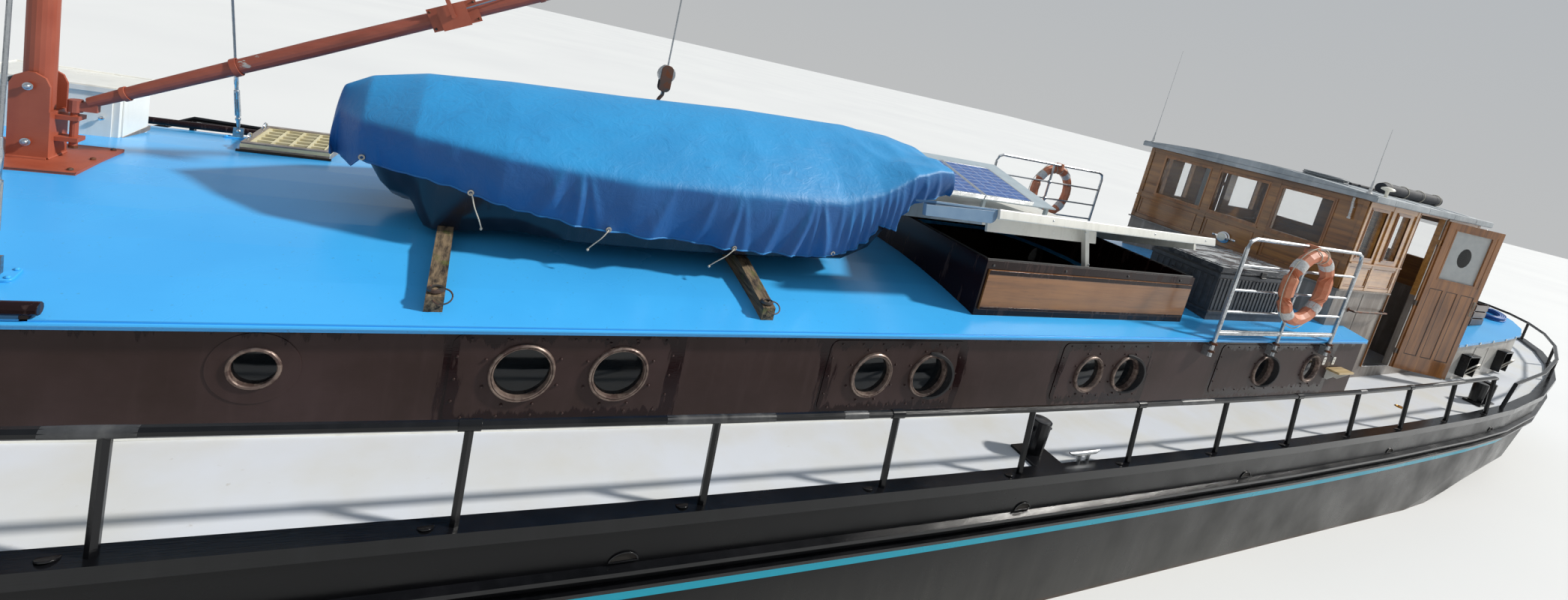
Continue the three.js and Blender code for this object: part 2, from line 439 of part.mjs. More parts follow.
// Tender on two timber chocks, under its cover.
const TENDER_STATIONS = [ // x, half breadth, keel height over the chocks, rail height over TENDER.rail
  [4850, 30, 330, 130], [4720, 250, 170, 110], [4450, 470, 60, 85], [4000, 640, 10, 50], [3300, 740, 0, 15],
  [2500, TENDER.half, 0, 0], [1700, 740, 15, 5], [1190, 660, 60, 20], [905, 590, 110, 30],
];
function tenderRing([x, half, keel, rail], grow = 0) {
  const z0 = TENDER.keel + keel, z1 = TENDER.rail + rail;
  const port = [[0.06, 0], [0.35, 0.1], [0.68, 0.26], [0.88, 0.5], [0.97, 0.75], [1, 1]];
  const side = port.map(([u, v]) => [(half + grow) * u, z0 - grow + (z1 - z0 + 2 * grow) * v]);
  return [...side, ...side.slice().reverse().map(([y, z]) => [-y, z])].map(([y, z]) => at(x, TENDER.y + y, z));
}
// The cover follows the tender's rail, hangs over it and rises to a ridge.
function coverRing([x, half, , rail], i, hang) {
  const z1 = TENDER.rail + rail, end = i === 0 || i === TENDER_STATIONS.length - 1;
  const ridge = end ? z1 + 90 : Math.min(TENDER.ridge, z1 + 300);
  const h = half + 24;
  const side = [[h, z1 - hang], [h + 6, z1 + 6], [h * 0.5, (z1 + ridge) / 2 + 30]];
  const ring = [...side, [0, ridge], ...side.slice().reverse().map(([y, z]) => [-y, z])];
  return ring.map(([y, z]) => at(x + (i === 0 ? 25 : end ? -25 : 0), TENDER.y + y, z));
}
function tender() {
  const boat = join(loft(TENDER_STATIONS.map((row) => tenderRing(row))),
    box(920, 4560, TENDER.y - 22, TENDER.y + 22, TENDER.keel - 2, TENDER.keel + 120));
  const under = join([0, 6, 12, 20].map((dz) => boat.translate([0, 0, dz - GAP])));
  [["chock_fore", 4240], ["chock_aft", 2500]].forEach(([name, x]) => {
    const beam = slabX([[-560, 1600], [1400, 1600], [1400, 1745], [900, 1850], [-560, 1850]], x - 40, x + 40);
    add(name, onRoof(beam).subtract(under), "timber");
  });
  const cover = loft(TENDER_STATIONS.map((row, i) => coverRing(row, i, 240)));
  add("tender", boat, "tenderBlack");
  add("tender_cover", fitted(cover, boat), "tarpBlue");
}

// Rails bolted to both sides of the den under its roof edge, each with a lifebuoy on its top bar.
const GUARD = { y: 1525, posts: [-1840, -2870, -3870], foot: 1490, top: 2590, rungs: [1715, 1915, 2118, 2345] };
const BUOY = { port: -2830, stbd: -3030, z: 2215, r: 312, tube: 58 };
function guardRail(side) {
  const { y, posts, foot, top } = GUARD, fore = posts[0], aft = posts[posts.length - 1];
  const frame = tube([at(fore, y, foot), at(fore, y, top - 90), at(fore - 25, y, top - 25), at(fore - 90, y, top),
    at(aft + 90, y, top), at(aft + 25, y, top - 25), at(aft, y, top - 90), at(aft, y, foot)], 17, 8);
  const middle = tube([at(posts[1], y, foot), at(posts[1], y, top)], 15, 6);
  const rungs = GUARD.rungs.map((z) => tube([at(fore, y, z), at(aft, y, z)], 11, 6));
  const brackets = posts.map((x) => box(x - 32, x + 32, DEN.half + GAP, y, foot, foot + 95));
  const made = join(frame, middle, rungs, brackets);
  add("guard_rail_" + side, side === "port" ? made : mirror(made), "galvanised");
  const ring = Array.from({ length: 24 }, (_, i) => {
    const w = (i * Math.PI) / 12;
    return at(BUOY[side] + BUOY.r * Math.cos(w), y + 20 + BUOY.tube, BUOY.z + BUOY.r * Math.sin(w));
  });
  const strap = box(BUOY[side] - 5, BUOY[side] + 35, y - 24, y + 80, BUOY.z + BUOY.r, top + 24);
  const buoy = fitted(join(tube(ring, BUOY.tube, 8, true), strap), made);
  add("lifebuoy_" + side, side === "port" ? buoy : mirror(buoy), "buoyRed");
}
const CHEST = { fore: -2150, aft: -3500, y0: 560, y1: 1230, top: 2180 };
function chest() {
  const shell = box(CHEST.aft, CHEST.fore, CHEST.y0, CHEST.y1, 1500, CHEST.top)
    .subtract(box(CHEST.aft + 25, CHEST.fore - 25, CHEST.y0 + 25, CHEST.y1 - 25, 1800, 2300));
  add("storage_box", onRoof(shell), "plastic");
  add("storage_box_lid", box(CHEST.aft - 20, CHEST.fore + 20, CHEST.y0 - 20, CHEST.y1 + 20, CHEST.top + GAP, CHEST.top + 45), "plastic");
}

// Wheelhouse: steel base, varnished upper walls with windows, cambered roof, two side doors.
const SIDE_WINDOWS = [[-4770, -4425], [-5320, -5045], [-7100, -6420]]; // aft edge, fore edge
const FRONT_WINDOWS = [[-1000, -400], [-270, 290], [440, 950]]; // both sides in y
const HINGES = { base: [1380, 2010], side: [2780], height: 60, out: 26 }; // knuckles on the wall
function wheelhouse() {
  const { fore, aft, half, wall, base, top, camber } = HOUSE;
  const hinge = at(DOOR.aft + 2, half + HINGES.out, 0);
  const knuckles = (levels) => join(levels.map((z) => join(
    post(hinge.x, hinge.y, z, z + HINGES.height, 11, 10),
    box(hinge.x - 22, hinge.x - 1, half - 10, hinge.y, z, z + HINGES.height))));
  const both = (s) => join(s, mirror(s));
  const doorway = box(DOOR.aft, DOOR.fore, half - 200, half + 200, DOOR.sill, 4000);
  const ring = box(aft, fore, -half, half, 800, base).subtract(box(aft + wall, fore - wall, -half + wall, half - wall, 700, 4000));
  add("wheelhouse_base", join(onRoof(onDeck(ring)).subtract(both(doorway)), both(knuckles(HINGES.base))), "houseGrey");
  const arc = [half + 80, top + 62, camber, 62, 8];
  add("wheelhouse_roof", slabX(roofArc(...arc), aft - 90, fore + 110), "roofGrey");
  const aboveRoof = slabX(aboveArc(...arc), aft - 90, fore + 110);
  const z0 = base + GAP;
  const endWall = (name, x0, rows) => {
    const glass = rows.map(([a, b]) => box(x0 - 200, x0 + 200, a, b, 2520, 3020));
    add(name, box(x0, x0 + wall, -half, half, z0, 3300).subtract(join(aboveRoof, glass)), "varnish");
  };
  endWall("wheelhouse_front", fore - wall, FRONT_WINDOWS);
  endWall("wheelhouse_back", aft, [[-1050, -400], [400, 1050]]);
  const panes = SIDE_WINDOWS.map(([a, b]) => box(a, b, 1000, 1600, 2500, 3020));
  const side = join(box(aft + wall + GAP, fore - wall - GAP, half - wall, half, z0, 3300)
    .subtract(join(aboveRoof, panes, box(DOOR.aft, DOOR.fore, 1000, 1600, 2000, DOOR.top))), knuckles(HINGES.side));
  add("wheelhouse_side_port", side, "varnish");
  add("wheelhouse_side_stbd", mirror(side), "varnish");
  // A leaf runs forward from its hinge line at the doorway's aft edge.
  const length = DOOR.fore - DOOR.aft - 24;
  const leaf = (swing) => {
    const panel = box(12, length, 0, DOOR.leaf, DOOR.sill + 10, DOOR.top)
      .subtract(box(120, length - 110, -10, 60, 2390, DOOR.top - 90));
    const pin = join(post(0, DOOR.leaf / 2, DOOR.sill + 10, DOOR.top, 11, 10),
      box(0, 14, DOOR.leaf / 2 - 8, DOOR.leaf / 2 + 8, DOOR.sill + 10, DOOR.top));
    const notches = [...HINGES.base, ...HINGES.side].map((z) => box(-30, 32, -30, 70, z - 0.5, z + HINGES.height + 0.5));
    return join(panel, pin).subtract(join(notches)).translate([0, -DOOR.leaf / 2, 0]).rotate([0, 0, swing]).translate([hinge.x, hinge.y, 0]);
  };
  add("wheelhouse_door_port", leaf(DOOR.open), "varnish");
  add("wheelhouse_door_stbd", mirror(leaf(0)), "varnish");
  const face = fore - wall - 360, wheelX = face - 110;
  const desk = box(face, fore - wall - GAP, -700, 700, 1500, 2380).subtract(box(face + 20, fore - wall - 60, -650, 650, 1400, 2340));
  add("steering_console", onRoof(onDeck(desk)), "varnish");
  const rim = Array.from({ length: 24 }, (_, i) => at(wheelX, 330 * Math.cos((i * Math.PI) / 12), 2200 + 330 * Math.sin((i * Math.PI) / 12)));
  const spokes = [0, 60, 120].map((turn) => bar("y", 0, 0, 0, 660, 11, 8).rotate([turn, 0, 0]).translate([wheelX, 0, 2200]));
  add("steering_wheel", join(tube(rim, 16, 8, true), spokes,
    bar("x", (wheelX - 10 + face - 0.5) / 2, 0, 2200, face - 0.5 - wheelX + 10, 34, 12)), "varnish");
}

// Aft cabin with its rounded end.
const ROEF_FULL = 2.8; // fullness of its rounded end
const ROEF_PORTHOLES = [[-7700, 1300], [-8850, 1355]]; // x, z
function cabinLine(half, aft, x0 = ROEF.fore) {
  const round = [0, 10, 20, 32, 45, 60, 75, 90].map((turn) => [
    ROEF.round - (ROEF.round - aft) * Math.abs(Math.cos(rad(turn))) ** (2 / ROEF_FULL),
    half * Math.sin(rad(turn)) ** (2 / ROEF_FULL)]);
  const port = [...round, [x0, half]];
  return [...port, ...port.slice(1).reverse().map(([x, y]) => [x, -y])];
}
function aftCabin() {
  const outer = slabZ(cabinLine(ROEF.half, ROEF.aft), 900, ROEF.top + 700);
  const inner = slabZ(cabinLine(ROEF.half - ROEF.wall, ROEF.aft + ROEF.wall, ROEF.fore - ROEF.wall), 800, 2800);
  const tilted = (s) => s.translate([-ROEF.fore, 0, -ROEF.top]).rotate([0, ROEF.rise, 0]).translate([ROEF.fore, 0, ROEF.top]);
  const arc = [ROEF.half + 40, ROEF.top, ROEF.camber, 30, 8];
  const plate = tilted(slabX(roofArc(...arc), ROEF.aft - 100, ROEF.fore + 60));
  const above = tilted(slabX(aboveArc(...arc), ROEF.aft - 100, ROEF.fore + 160));
  const glass = ROEF_PORTHOLES.flatMap(([x, z]) => [1, -1].map((s) => bar("y", x, s * 1400, z, 500, 125, 24)));
  add("aft_cabin", onDeck(outer.subtract(inner)).subtract(join(above, glass)), "houseGrey");
  add("aft_cabin_roof", plate.intersect(slabZ(cabinLine(ROEF.half + 28, ROEF.aft - 28), 1000, 2500)), "roofBlue");
}

// Mooring gear, fore hatch, windlass and steering gear on the deck.
function deckGear() {
  const bollard = (name, x, y, heads) => {
    const z = deckZ(x, y);
    add(name, onDeck(join(box(x - 210, x + 210, y - 80, y + 80, z - 60, z + 22),
      heads.map((d) => post(x + d, y, z, z + 250, 60, 14, 68)))), "hullBlack");
  };
  [["port", 1], ["stbd", -1]].forEach(([side, s]) => {
    bollard("bollard_aft_" + side, -6960, s * 1900, [-120, 120]);
  });
  bollard("bollard_fore", 9500, 0, [-120, 120]);
  const z = deckZ(8500, 380);
  add("fore_hatch", onDeck(box(8150, 8850, -380, 380, z - 80, z + 260)
    .subtract(box(8180, 8820, -350, 350, z + 60, z + 400))), "roofBlue");
  add("fore_hatch_lid", box(8120, 8880, -410, 410, z + 260 + GAP, z + 300), "roofBlue");
  const w = deckZ(10500, 200);
  const cheeks = [-230, 200].map((y) => slabY([[10300, w - 60], [10760, w - 60], [10640, w + 420], [10420, w + 420]], y, y + 30));
  const drums = [[360, 105, 0], [90, 90, 330], [90, 90, -330]].map(([length, r, y]) => bar("y", 10530, y, w + 330, length, r, 18));
  add("windlass", onDeck(join(cheeks, bar("y", 10530, 0, w + 330, 760, 34, 12), drums, box(10290, 10770, -240, 240, w - 60, w + 30))), "steel");
}
function anchors() {
  [["port", 1], ["stbd", -1]].forEach(([side, s]) => {
    const flukes = [-1, 1].map((f) => box(Math.min(f * 215, f * 320), Math.max(f * 215, f * 320), -22, 22, -340, 60));
    const made = join(box(-30, 30, -30, 30, -320, 330), box(-330, 330, -60, 60, -430, -310), flukes);
    const placed = made.rotate([0, 0, -43 * s]).translate([11180, s * 1360, 1000]);
    add("anchor_" + side, offSide(placed).subtract(join([[0, GAP], [0, -GAP], [GAP, 0], [-GAP, 0]].flatMap(([x, y]) =>
      fenders.map((f) => f.translate([x, y, 0]))))), "steel");
  });
}

// Below the water: skeg with its sole piece, rudder and propeller.
const SHAFT = { z: -630, boss: -9960, hub: -10270, r: 370 };
const STOCK_X = -11000, SOLE_TOP = -1020;
function below() {
  const offBottom = (s) => offSide(s).subtract(join(HULL.translate([0, 0, -GAP]), HULL.translate([0, 0, GAP])));
  add("skeg", offBottom(join(box(-11090, -9300, -40, 40, -1090, SOLE_TOP), box(-9900, -9000, -45, 45, -1090, -760))), "hullBlack");
  const blade = slabY([[-10790, -1005], [-11720, -1005], [-11760, -560], [-11640, -170], [-10790, -170]], -32, 32);
  // Its top is cut to pass under the stern at every angle of the helm.
  const swept = [0, 7, 14, 21, 28, 35].flatMap((turn) => [turn, -turn].map((w) =>
    HULL.translate([-STOCK_X, 0, -6]).rotate([0, 0, w]).translate([STOCK_X, 0, 0])));
  add("rudder", join(blade, post(STOCK_X, 0, SOLE_TOP + 0.5, 400, 45, 16)).subtract(join(swept)), "hullBlack");
  const blades = [0, 90, 180, 270].map((turn) => box(-16, 16, -95, 95, 40, 500).rotate([0, 0, 32])
    .intersect(bar("x", 0, 0, 0, 400, SHAFT.r, 32)).rotate([turn, 0, 0]).translate([SHAFT.hub, 0, SHAFT.z]));
  const shaft = SHAFT.boss - 0.5 - SHAFT.hub;
  add("propeller", join(bar("x", SHAFT.hub, 0, SHAFT.z, 240, 75), bar("x", SHAFT.hub + shaft / 2, 0, SHAFT.z, shaft, 32, 12), blades), "bronze");
}

hull();
strakes();
bulwark();
["port", "stbd"].forEach(sideRail);
sternRail();
den();
hatch();
rig();
roofFittings();
tender();
["port", "stbd"].forEach(guardRail);
chest();
wheelhouse();
aftCabin();
deckGear();
anchors();
below();
export default barge;
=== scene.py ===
# %% [markdown]
# # Dutch motor barge
# The real thing is a riveted and welded steel barge of about 24.6 m. Its long, low trunk over the
# old cargo hold is called the den here. The CAD frame already holds every rigid form at its true
# size, so this script adds what steel plates alone can't show: paint, varnish, glass, cloth, rope,
# bolts and wear. All lengths are typed in millimetres and turned to metres in one place.

# %% Frame and scale
from math import copysign, cos, hypot, pi, radians, sin, tan

import bmesh
import bpy
import numpy as np
from mathutils import Matrix, Vector, noise
from mathutils.bvhtree import BVHTree
from mathutils.geometry import tessellate_polygon


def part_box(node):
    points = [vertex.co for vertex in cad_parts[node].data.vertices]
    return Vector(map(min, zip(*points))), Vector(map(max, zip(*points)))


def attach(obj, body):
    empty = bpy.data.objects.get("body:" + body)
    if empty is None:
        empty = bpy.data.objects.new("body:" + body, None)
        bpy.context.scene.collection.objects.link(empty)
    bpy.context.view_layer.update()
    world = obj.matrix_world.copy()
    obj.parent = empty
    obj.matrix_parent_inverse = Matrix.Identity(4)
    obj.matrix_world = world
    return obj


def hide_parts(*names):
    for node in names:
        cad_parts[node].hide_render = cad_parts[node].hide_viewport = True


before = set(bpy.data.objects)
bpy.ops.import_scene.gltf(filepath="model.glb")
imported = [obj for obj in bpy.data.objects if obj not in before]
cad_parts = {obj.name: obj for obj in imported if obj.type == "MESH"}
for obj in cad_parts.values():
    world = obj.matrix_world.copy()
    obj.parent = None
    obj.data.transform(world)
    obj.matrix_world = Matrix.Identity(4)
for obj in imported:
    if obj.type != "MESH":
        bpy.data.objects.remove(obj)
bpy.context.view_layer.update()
MM = 0.001

# %% [markdown]
# ## Camera
# The photograph was taken from beside the den, about two metres above the deck, with a
# wide lens and a strong tilt to one side. A camera is easiest to aim by hand, but here its place
# and its three turns were worked out from known edges of the boat, so they are typed as numbers.
# The horizon lies above the middle of the picture: a small vertical shift of the lens gives that
# without tilting the camera, as a view camera does.

# %% Camera
EYE = Vector((4244, 4526, 3200)) * MM
YAW, PITCH, ROLL = (radians(a) for a in (27.14, 8.78, 13.35))
PHOTO_WIDE, FOCAL_PX, AXIS_DROP = 2092, 855.7, 400 - 206.5  # picture width, focal length, shift in pixels
SENSOR = 36.0

ahead = Vector((-sin(YAW) * cos(PITCH), -cos(YAW) * cos(PITCH), -sin(PITCH)))
level = ahead.cross(Vector((0, 0, 1))).normalized()
down = ahead.cross(level)
right = level * cos(ROLL) - down * sin(ROLL)
below = down * cos(ROLL) + level * sin(ROLL)


def add_object(name, data):
    made = bpy.data.objects.new(name, data)
    bpy.context.collection.objects.link(made)
    return made


camera = add_object("camera", bpy.data.cameras.new("camera"))
camera.matrix_world = Matrix.Translation(EYE) @ Matrix((right, -below, -ahead)).transposed().to_4x4()
camera.data.sensor_width = SENSOR
camera.data.lens = FOCAL_PX / PHOTO_WIDE * SENSOR
camera.data.shift_y = -AXIS_DROP / PHOTO_WIDE
camera.data.clip_end = 400
bpy.context.scene.camera = camera
print("lens", round(camera.data.lens, 2), "mm, shift", round(camera.data.shift_y, 4))

# %% [markdown]
# ## Tools for shapes
# A shape here is a pair: its corner points in millimetres and its faces. Primitive meshes from the
# Add menu would do for a sketch, but a barge is mostly bent tube, cut plate and turned metal, so
# four makers cover it: a box, a cut plate with holes, a turned piece and a tube along a path.


# %% Shapes
def block(x0, x1, y0, y1, z0, z1):
    corners = [(x, y, z) for x in (x0, x1) for y in (y0, y1) for z in (z0, z1)]
    return np.array(corners, float), [(0, 1, 3, 2), (4, 6, 7, 5), (0, 4, 5, 1), (2, 3, 7, 6), (0, 2, 6, 4),
        (1, 5, 7, 3)]


def plate(loops, w0, w1, at):
    """A cut plate from w0 to w1: outline and holes are loops of (u, v); at makes a point of (u, v, w)."""
    flat = [p for loop in loops for p in loop]
    n = len(flat)
    points = [at(u, v, w) for w in (w0, w1) for u, v in flat]
    if len(loops) == 1:
        faces = [tuple(range(n)), tuple(range(2 * n - 1, n - 1, -1))]
    else:
        tris = tessellate_polygon([[Vector((u, v, 0)) for u, v in loop] for loop in loops])
        faces = [tuple(t) for t in tris] + [tuple(i + n for i in reversed(t)) for t in tris]
    start = 0
    for loop in loops:
        m = len(loop)
        for i in range(m):
            j = (i + 1) % m
            faces.append((start + i, start + j, n + start + j, n + start + i))
        start += m
    return np.array(points, float), faces


def ring_faces(rows, n, closed=False):
    """Faces between rows of n points each; rows that don't close get two end faces."""
    faces = []
    for i in range(rows if closed else rows - 1):
        a, b = i * n, (i + 1) % rows * n
        faces += [(a + k, a + (k + 1) % n, b + (k + 1) % n, b + k) for k in range(n)]
    if not closed:
        faces += [tuple(range(n)), tuple(range(rows * n - 1, (rows - 1) * n - 1, -1))]
    return faces


def turned(profile, centre, axis="z", sides=20, ring=False):
    """A profile of (radius, height) turned about an axis; ring closes the profile on itself."""
    order = {"z": (0, 1, 2), "x": (2, 0, 1), "y": (1, 2, 0)}[axis]
    points = []
    for r, h in profile:
        for k in range(sides):
            a = 2 * pi * k / sides
            p = (r * cos(a), r * sin(a), h)
            points.append([centre[i] + p[order[i]] for i in range(3)])
    return np.array(points, float), ring_faces(len(profile), sides, ring)


def tube(path, r, sides=8, closed=False):
    """A round bar along a path; r is one radius or one for each point."""
    path = [Vector(p) for p in path]
    count = len(path)
    radii = r if hasattr(r, "__len__") else [r] * count
    points, across = [], None
    for i, p in enumerate(path):
        a = path[(i - 1) % count] if closed or i else path[0]
        b = path[(i + 1) % count] if closed or i + 1 < count else path[-1]
        t = (b - a).normalized()
        if across is None:
            across = t.orthogonal().normalized()
        across = (across - t * across.dot(t)).normalized()
        up = t.cross(across)
        for k in range(sides):
            w = 2 * pi * k / sides
            points.append(p + (across * cos(w) + up * sin(w)) * radii[i])
    return np.array([tuple(p) for p in points], float), ring_faces(count, sides, closed)


def moved(shape, matrix):
    points = np.c_[shape[0], np.ones(len(shape[0]))] @ np.array(matrix).T
    return points[:, :3], shape[1]


def seated(seat, profile, axis="y", sides=24, ring=False):
    """A turned piece around the origin, put in its place by a matrix."""
    return moved(turned(profile, (0, 0, 0), axis, sides, ring), seat)


def mirrored(shapes):
    return [(points * (1, -1, 1), faces) for points, faces in shapes]


def both(shapes):
    return shapes + mirrored(shapes)


def rounded(w, h, r, steps=4, centre=(0, 0)):
    """A rectangle with rounded corners, as a loop."""
    loop = []
    for k, (sx, sy) in enumerate(((1, 1), (-1, 1), (-1, -1), (1, -1))):
        for i in range(steps + 1):
            a = pi / 2 * (k + i / steps)
            loop.append((centre[0] + sx * (w / 2 - r) + r * cos(a),
                centre[1] + sy * (h / 2 - r) + r * sin(a)))
    return loop


def circle(r, centre=(0, 0), sides=28):
    turns = [2 * pi * k / sides for k in range(sides)]
    return [(centre[0] + r * cos(a), centre[1] + r * sin(a)) for a in turns]


def bolt(centre, axis="z", r=9, h=7, out=1):
    """A domed bolt head; out is 1 or -1 along its axis."""
    return turned([(r, -1 * out), (r, 0.4 * h * out), (0.75 * r, 0.8 * h * out), (0.3 * r, h * out)], centre,
        axis, 8)


def on_side(y):
    return lambda u, v, w: (u, y + w, v)


def facing_bow(x):
    return lambda u, v, w: (x + w, u, v)


def facing_up(z):
    return lambda u, v, w: (u, v, z + w)


print("shape makers ready")


# %% [markdown]
# ## From shapes to pieces
# Many small fittings that share a finish and a body become one object, so the outliner stays
# readable and each object still moves with the right body. A bevel modifier rounds the edges: real
# edges are never razor sharp, and the thin highlight on them is what makes a render look solid.


# %% Pieces
def piece(name, shapes, finish, body="vessel", bevel=0.0, smooth=35):
    mesh = bpy.data.meshes.new(name)
    points = np.vstack([s[0] for s in shapes]) * MM
    starts = np.cumsum([0] + [len(s[0]) for s in shapes])
    faces = [[int(start) + i for i in face] for start, s in zip(starts, shapes) for face in s[1]]
    mesh.from_pydata(points.tolist(), [], faces)
    work = bmesh.new()
    work.from_mesh(mesh)
    bmesh.ops.recalc_face_normals(work, faces=work.faces)
    work.to_mesh(mesh)
    work.free()
    mesh.shade_smooth()
    mesh.set_sharp_from_angle(angle=radians(smooth))
    mesh.materials.append(finish)
    made = add_object(name, mesh)
    if bevel:
        soften(made, bevel)
    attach(made, body)
    return made


def soften(thing, width):
    edge = thing.modifiers.new("worn edges", "BEVEL")
    edge.width, edge.segments = width * MM, 2
    edge.limit_method, edge.angle_limit = "ANGLE", radians(40)
    edge.harden_normals = True


# %% [markdown]
# ## Tools for finishes
# Paint charts and screens give colours as sRGB hex codes, while the shader works in linear light,
# so one function converts them. Another adds a node with its settings and links and hands back its
# output, so a finish reads like a recipe. Scales come from real sizes: a noise that repeats every
# 40 mm gets a scale of 1000 / 40.


# %% Colours and nodes
def linear(code):
    channels = [int(code[i : i + 2], 16) / 255 for i in (0, 2, 4)]
    return tuple(c / 12.92 if c <= 0.04045 else ((c + 0.055) / 1.055) ** 2.4 for c in channels) + (1.0,)


def put(tree, kind, sockets=None, out=0, **settings):
    """Adds a node with its settings and what feeds it, and hands back its output."""
    node = tree.nodes.new("ShaderNode" + kind)
    for name, value in settings.items():
        setattr(node, name, value)
    feed(node, sockets or {})
    return node.outputs[out]


def feed(node, sockets):
    """Each socket gets a link, a number or a hex colour."""
    for name, value in sockets.items():
        if isinstance(value, bpy.types.NodeSocket):
            node.id_data.links.new(value, node.inputs[name])
        else:
            node.inputs[name].default_value = linear(value) if isinstance(value, str) else value


A, B, MIXED = 6, 7, 2  # a Mix node's two colours, and the colour that comes out


def new_finish(name, code, roughness, **sockets):
    """A material with one Principled BSDF: its tree, its shader, its coordinates and itself."""
    made = bpy.data.materials.new(name)
    made.use_nodes = True
    shader = made.node_tree.nodes["Principled BSDF"]
    feed(shader, {"Base Color": code, "Roughness": roughness})
    feed(shader, {key.replace("_", " "): value for key, value in sockets.items()})
    return made.node_tree, shader, put(made.node_tree, "TexCoord", out="Object"), made


def per_mm(size):
    """Noise scale for a pattern that repeats about every size millimetres."""
    return 1000.0 / size


print("roof blue in linear light:", [round(c, 3) for c in linear("44AEEE")[:3]])

# %% [markdown]
# ## Brushed enamel
# Most of the boat is alkyd enamel brushed on steel. The brush leaves faint parallel ridges, the
# tint drifts over a metre or so, rain draws pale streaks down upright plates, and touched-up
# patches stay darker and glossier. One recipe takes these as amounts. A painted picture would show
# the same, but a procedural one has no seams and works on the CAD meshes, which have no UV maps.


# %% Enamel recipe
def enamel(name, code, roughness, drift=None, drift_mm=700, streak=None, streaks=0.35, brush=0.25, speck=None,
        ior=1.5):
    tree, shader, spot, made = new_finish(name, code, roughness, IOR=ior)
    colour = None
    cloud = put(tree, "TexNoise", {"Vector": spot, "Scale": per_mm(drift_mm), "Detail": 5.0,
        "Roughness": 0.6})
    if drift:
        share = put(tree, "MapRange", {"Value": cloud, "From Min": 0.35, "From Max": 0.68})
        colour = put(tree, "Mix", {0: share, A: code, B: drift}, MIXED, data_type="RGBA")
    if streak:
        tall = put(tree, "Mapping", {"Vector": spot, "Scale": (1.0, 1.0, 0.09)})
        rain = put(tree, "TexNoise", {"Vector": tall, "Scale": per_mm(60), "Detail": 4.0})
        share = put(tree, "MapRange", {"Value": rain, "From Min": 0.5, "From Max": 0.75, "To Max": streaks})
        colour = put(tree, "Mix", {0: share, A: colour or code, B: streak}, MIXED, data_type="RGBA")
    if speck:
        fine = put(tree, "TexNoise", {"Vector": spot, "Scale": per_mm(18), "Detail": 2.0})
        share = put(tree, "MapRange", {"Value": fine, "From Min": 0.7, "From Max": 0.74, "To Max": 0.8})
        colour = put(tree, "Mix", {0: share, A: colour or code, B: speck}, MIXED, data_type="RGBA")
    if colour:
        feed(shader, {"Base Color": colour})
    gloss = put(tree, "MapRange", {"Value": cloud, "From Min": 0.3, "From Max": 0.7,
        "To Min": roughness * 0.75, "To Max": roughness * 1.3})
    # Brush marks are under a millimetre wide; they are drawn 6 mm apart so that they show.
    comb = put(tree, "Mapping", {"Vector": spot, "Scale": (0.06, 1.0, 1.0)})
    ridges = put(tree, "TexNoise", {"Vector": comb, "Scale": per_mm(6), "Detail": 2.0})
    feed(shader, {"Roughness": gloss, "Normal": put(tree, "Bump", {"Height": ridges, "Strength": brush,
        "Distance": 0.0008})})
    return made


roof_blue = enamel("gloss_enamel_sky_blue", "44AEEE", 0.24, drift="3BA2E4", drift_mm=1600, brush=0.22,
    speck="3F93C8")
black_steel = enamel("black_enamel_on_steel", "08090B", 0.22, drift="0F0F12", drift_mm=420, streak="2E2F33",
    streaks=0.1, brush=0.4, ior=1.38)
red_oxide = enamel("red_oxide_primer", "94462F", 0.5, drift="A2543C", drift_mm=300, streak="7E3626",
    streaks=0.4, brush=0.4)
locker_white = enamel("white_enamel_on_plywood", "E9E8E0", 0.3, drift="D9DAD6", drift_mm=500, streak="C4C2B8",
    brush=0.3)
hatch_white = enamel("white_enamel_on_aluminium", "E2E1DA", 0.4, drift="CFCFC8", drift_mm=420,
    streak="A9A79C", streaks=0.35)
house_steel = enamel("weathered_grey_brown_enamel", "867E76", 0.38, drift="6F655E", drift_mm=380,
    streak="B3ADA4", streaks=0.5, speck="5B4B42")
cabin_grey = enamel("weathered_pale_grey_enamel", "B9B7B1", 0.4, drift="A29D97", drift_mm=350,
    streak="DEDCD6", streaks=0.5, speck="8D7F72")
roof_grey = enamel("light_grey_deck_paint", "AAB0B4", 0.55, drift="858D92", drift_mm=600, streak="C3C7C8")
flap_blue = enamel("grey_blue_gelcoat", "5F7C99", 0.3, drift="6F8AA4", drift_mm=250)
tender_black = enamel("navy_black_gelcoat", "10131B", 0.22, drift="1B1F2A", drift_mm=500, streak="3A3F49",
    streaks=0.25)
grating_cream = enamel("cream_moulded_grating", "D3CBA9", 0.6, drift="C2B88F", drift_mm=120, streak="A59B78")
anchor_black = enamel("bitumen_on_cast_steel", "1E1E20", 0.5, drift="33302E", drift_mm=160, streak="6A4632",
    streaks=0.5, brush=0.8)
worn_black = enamel("black_enamel_worn_to_primer", "1C1D1F", 0.38, drift="434446", drift_mm=130,
    streak="6E6E6C", streaks=0.4, brush=0.5)
print("enamels:", len(bpy.data.materials))

# %% [markdown]
# ## The hull's one mesh, many paints
# Hull sides, deck and bottom are one welded body, but they wear different paints, laid along the
# sheer: the slow curve of the deck edge. The real painter follows it with masking tape. The shader
# can do the same, because the sheer is a formula: the height over the waterline at each x. What
# lies above it and faces up is deck, a band under the strakes is turquoise, the rest is black, and
# below the waterline it is dull red-brown with a weed line.

# %% Hull paint
SHEER = {"low": 0.970, "at": -2.2, "fore": 0.0025, "aft": 0.0045}


def sheer(x):
    """Height of the deck edge in millimetres at x in millimetres."""
    m = x / 1000 - SHEER["at"]
    return 1000 * (SHEER["low"] + (SHEER["fore"] if m > 0 else SHEER["aft"]) * m * m)


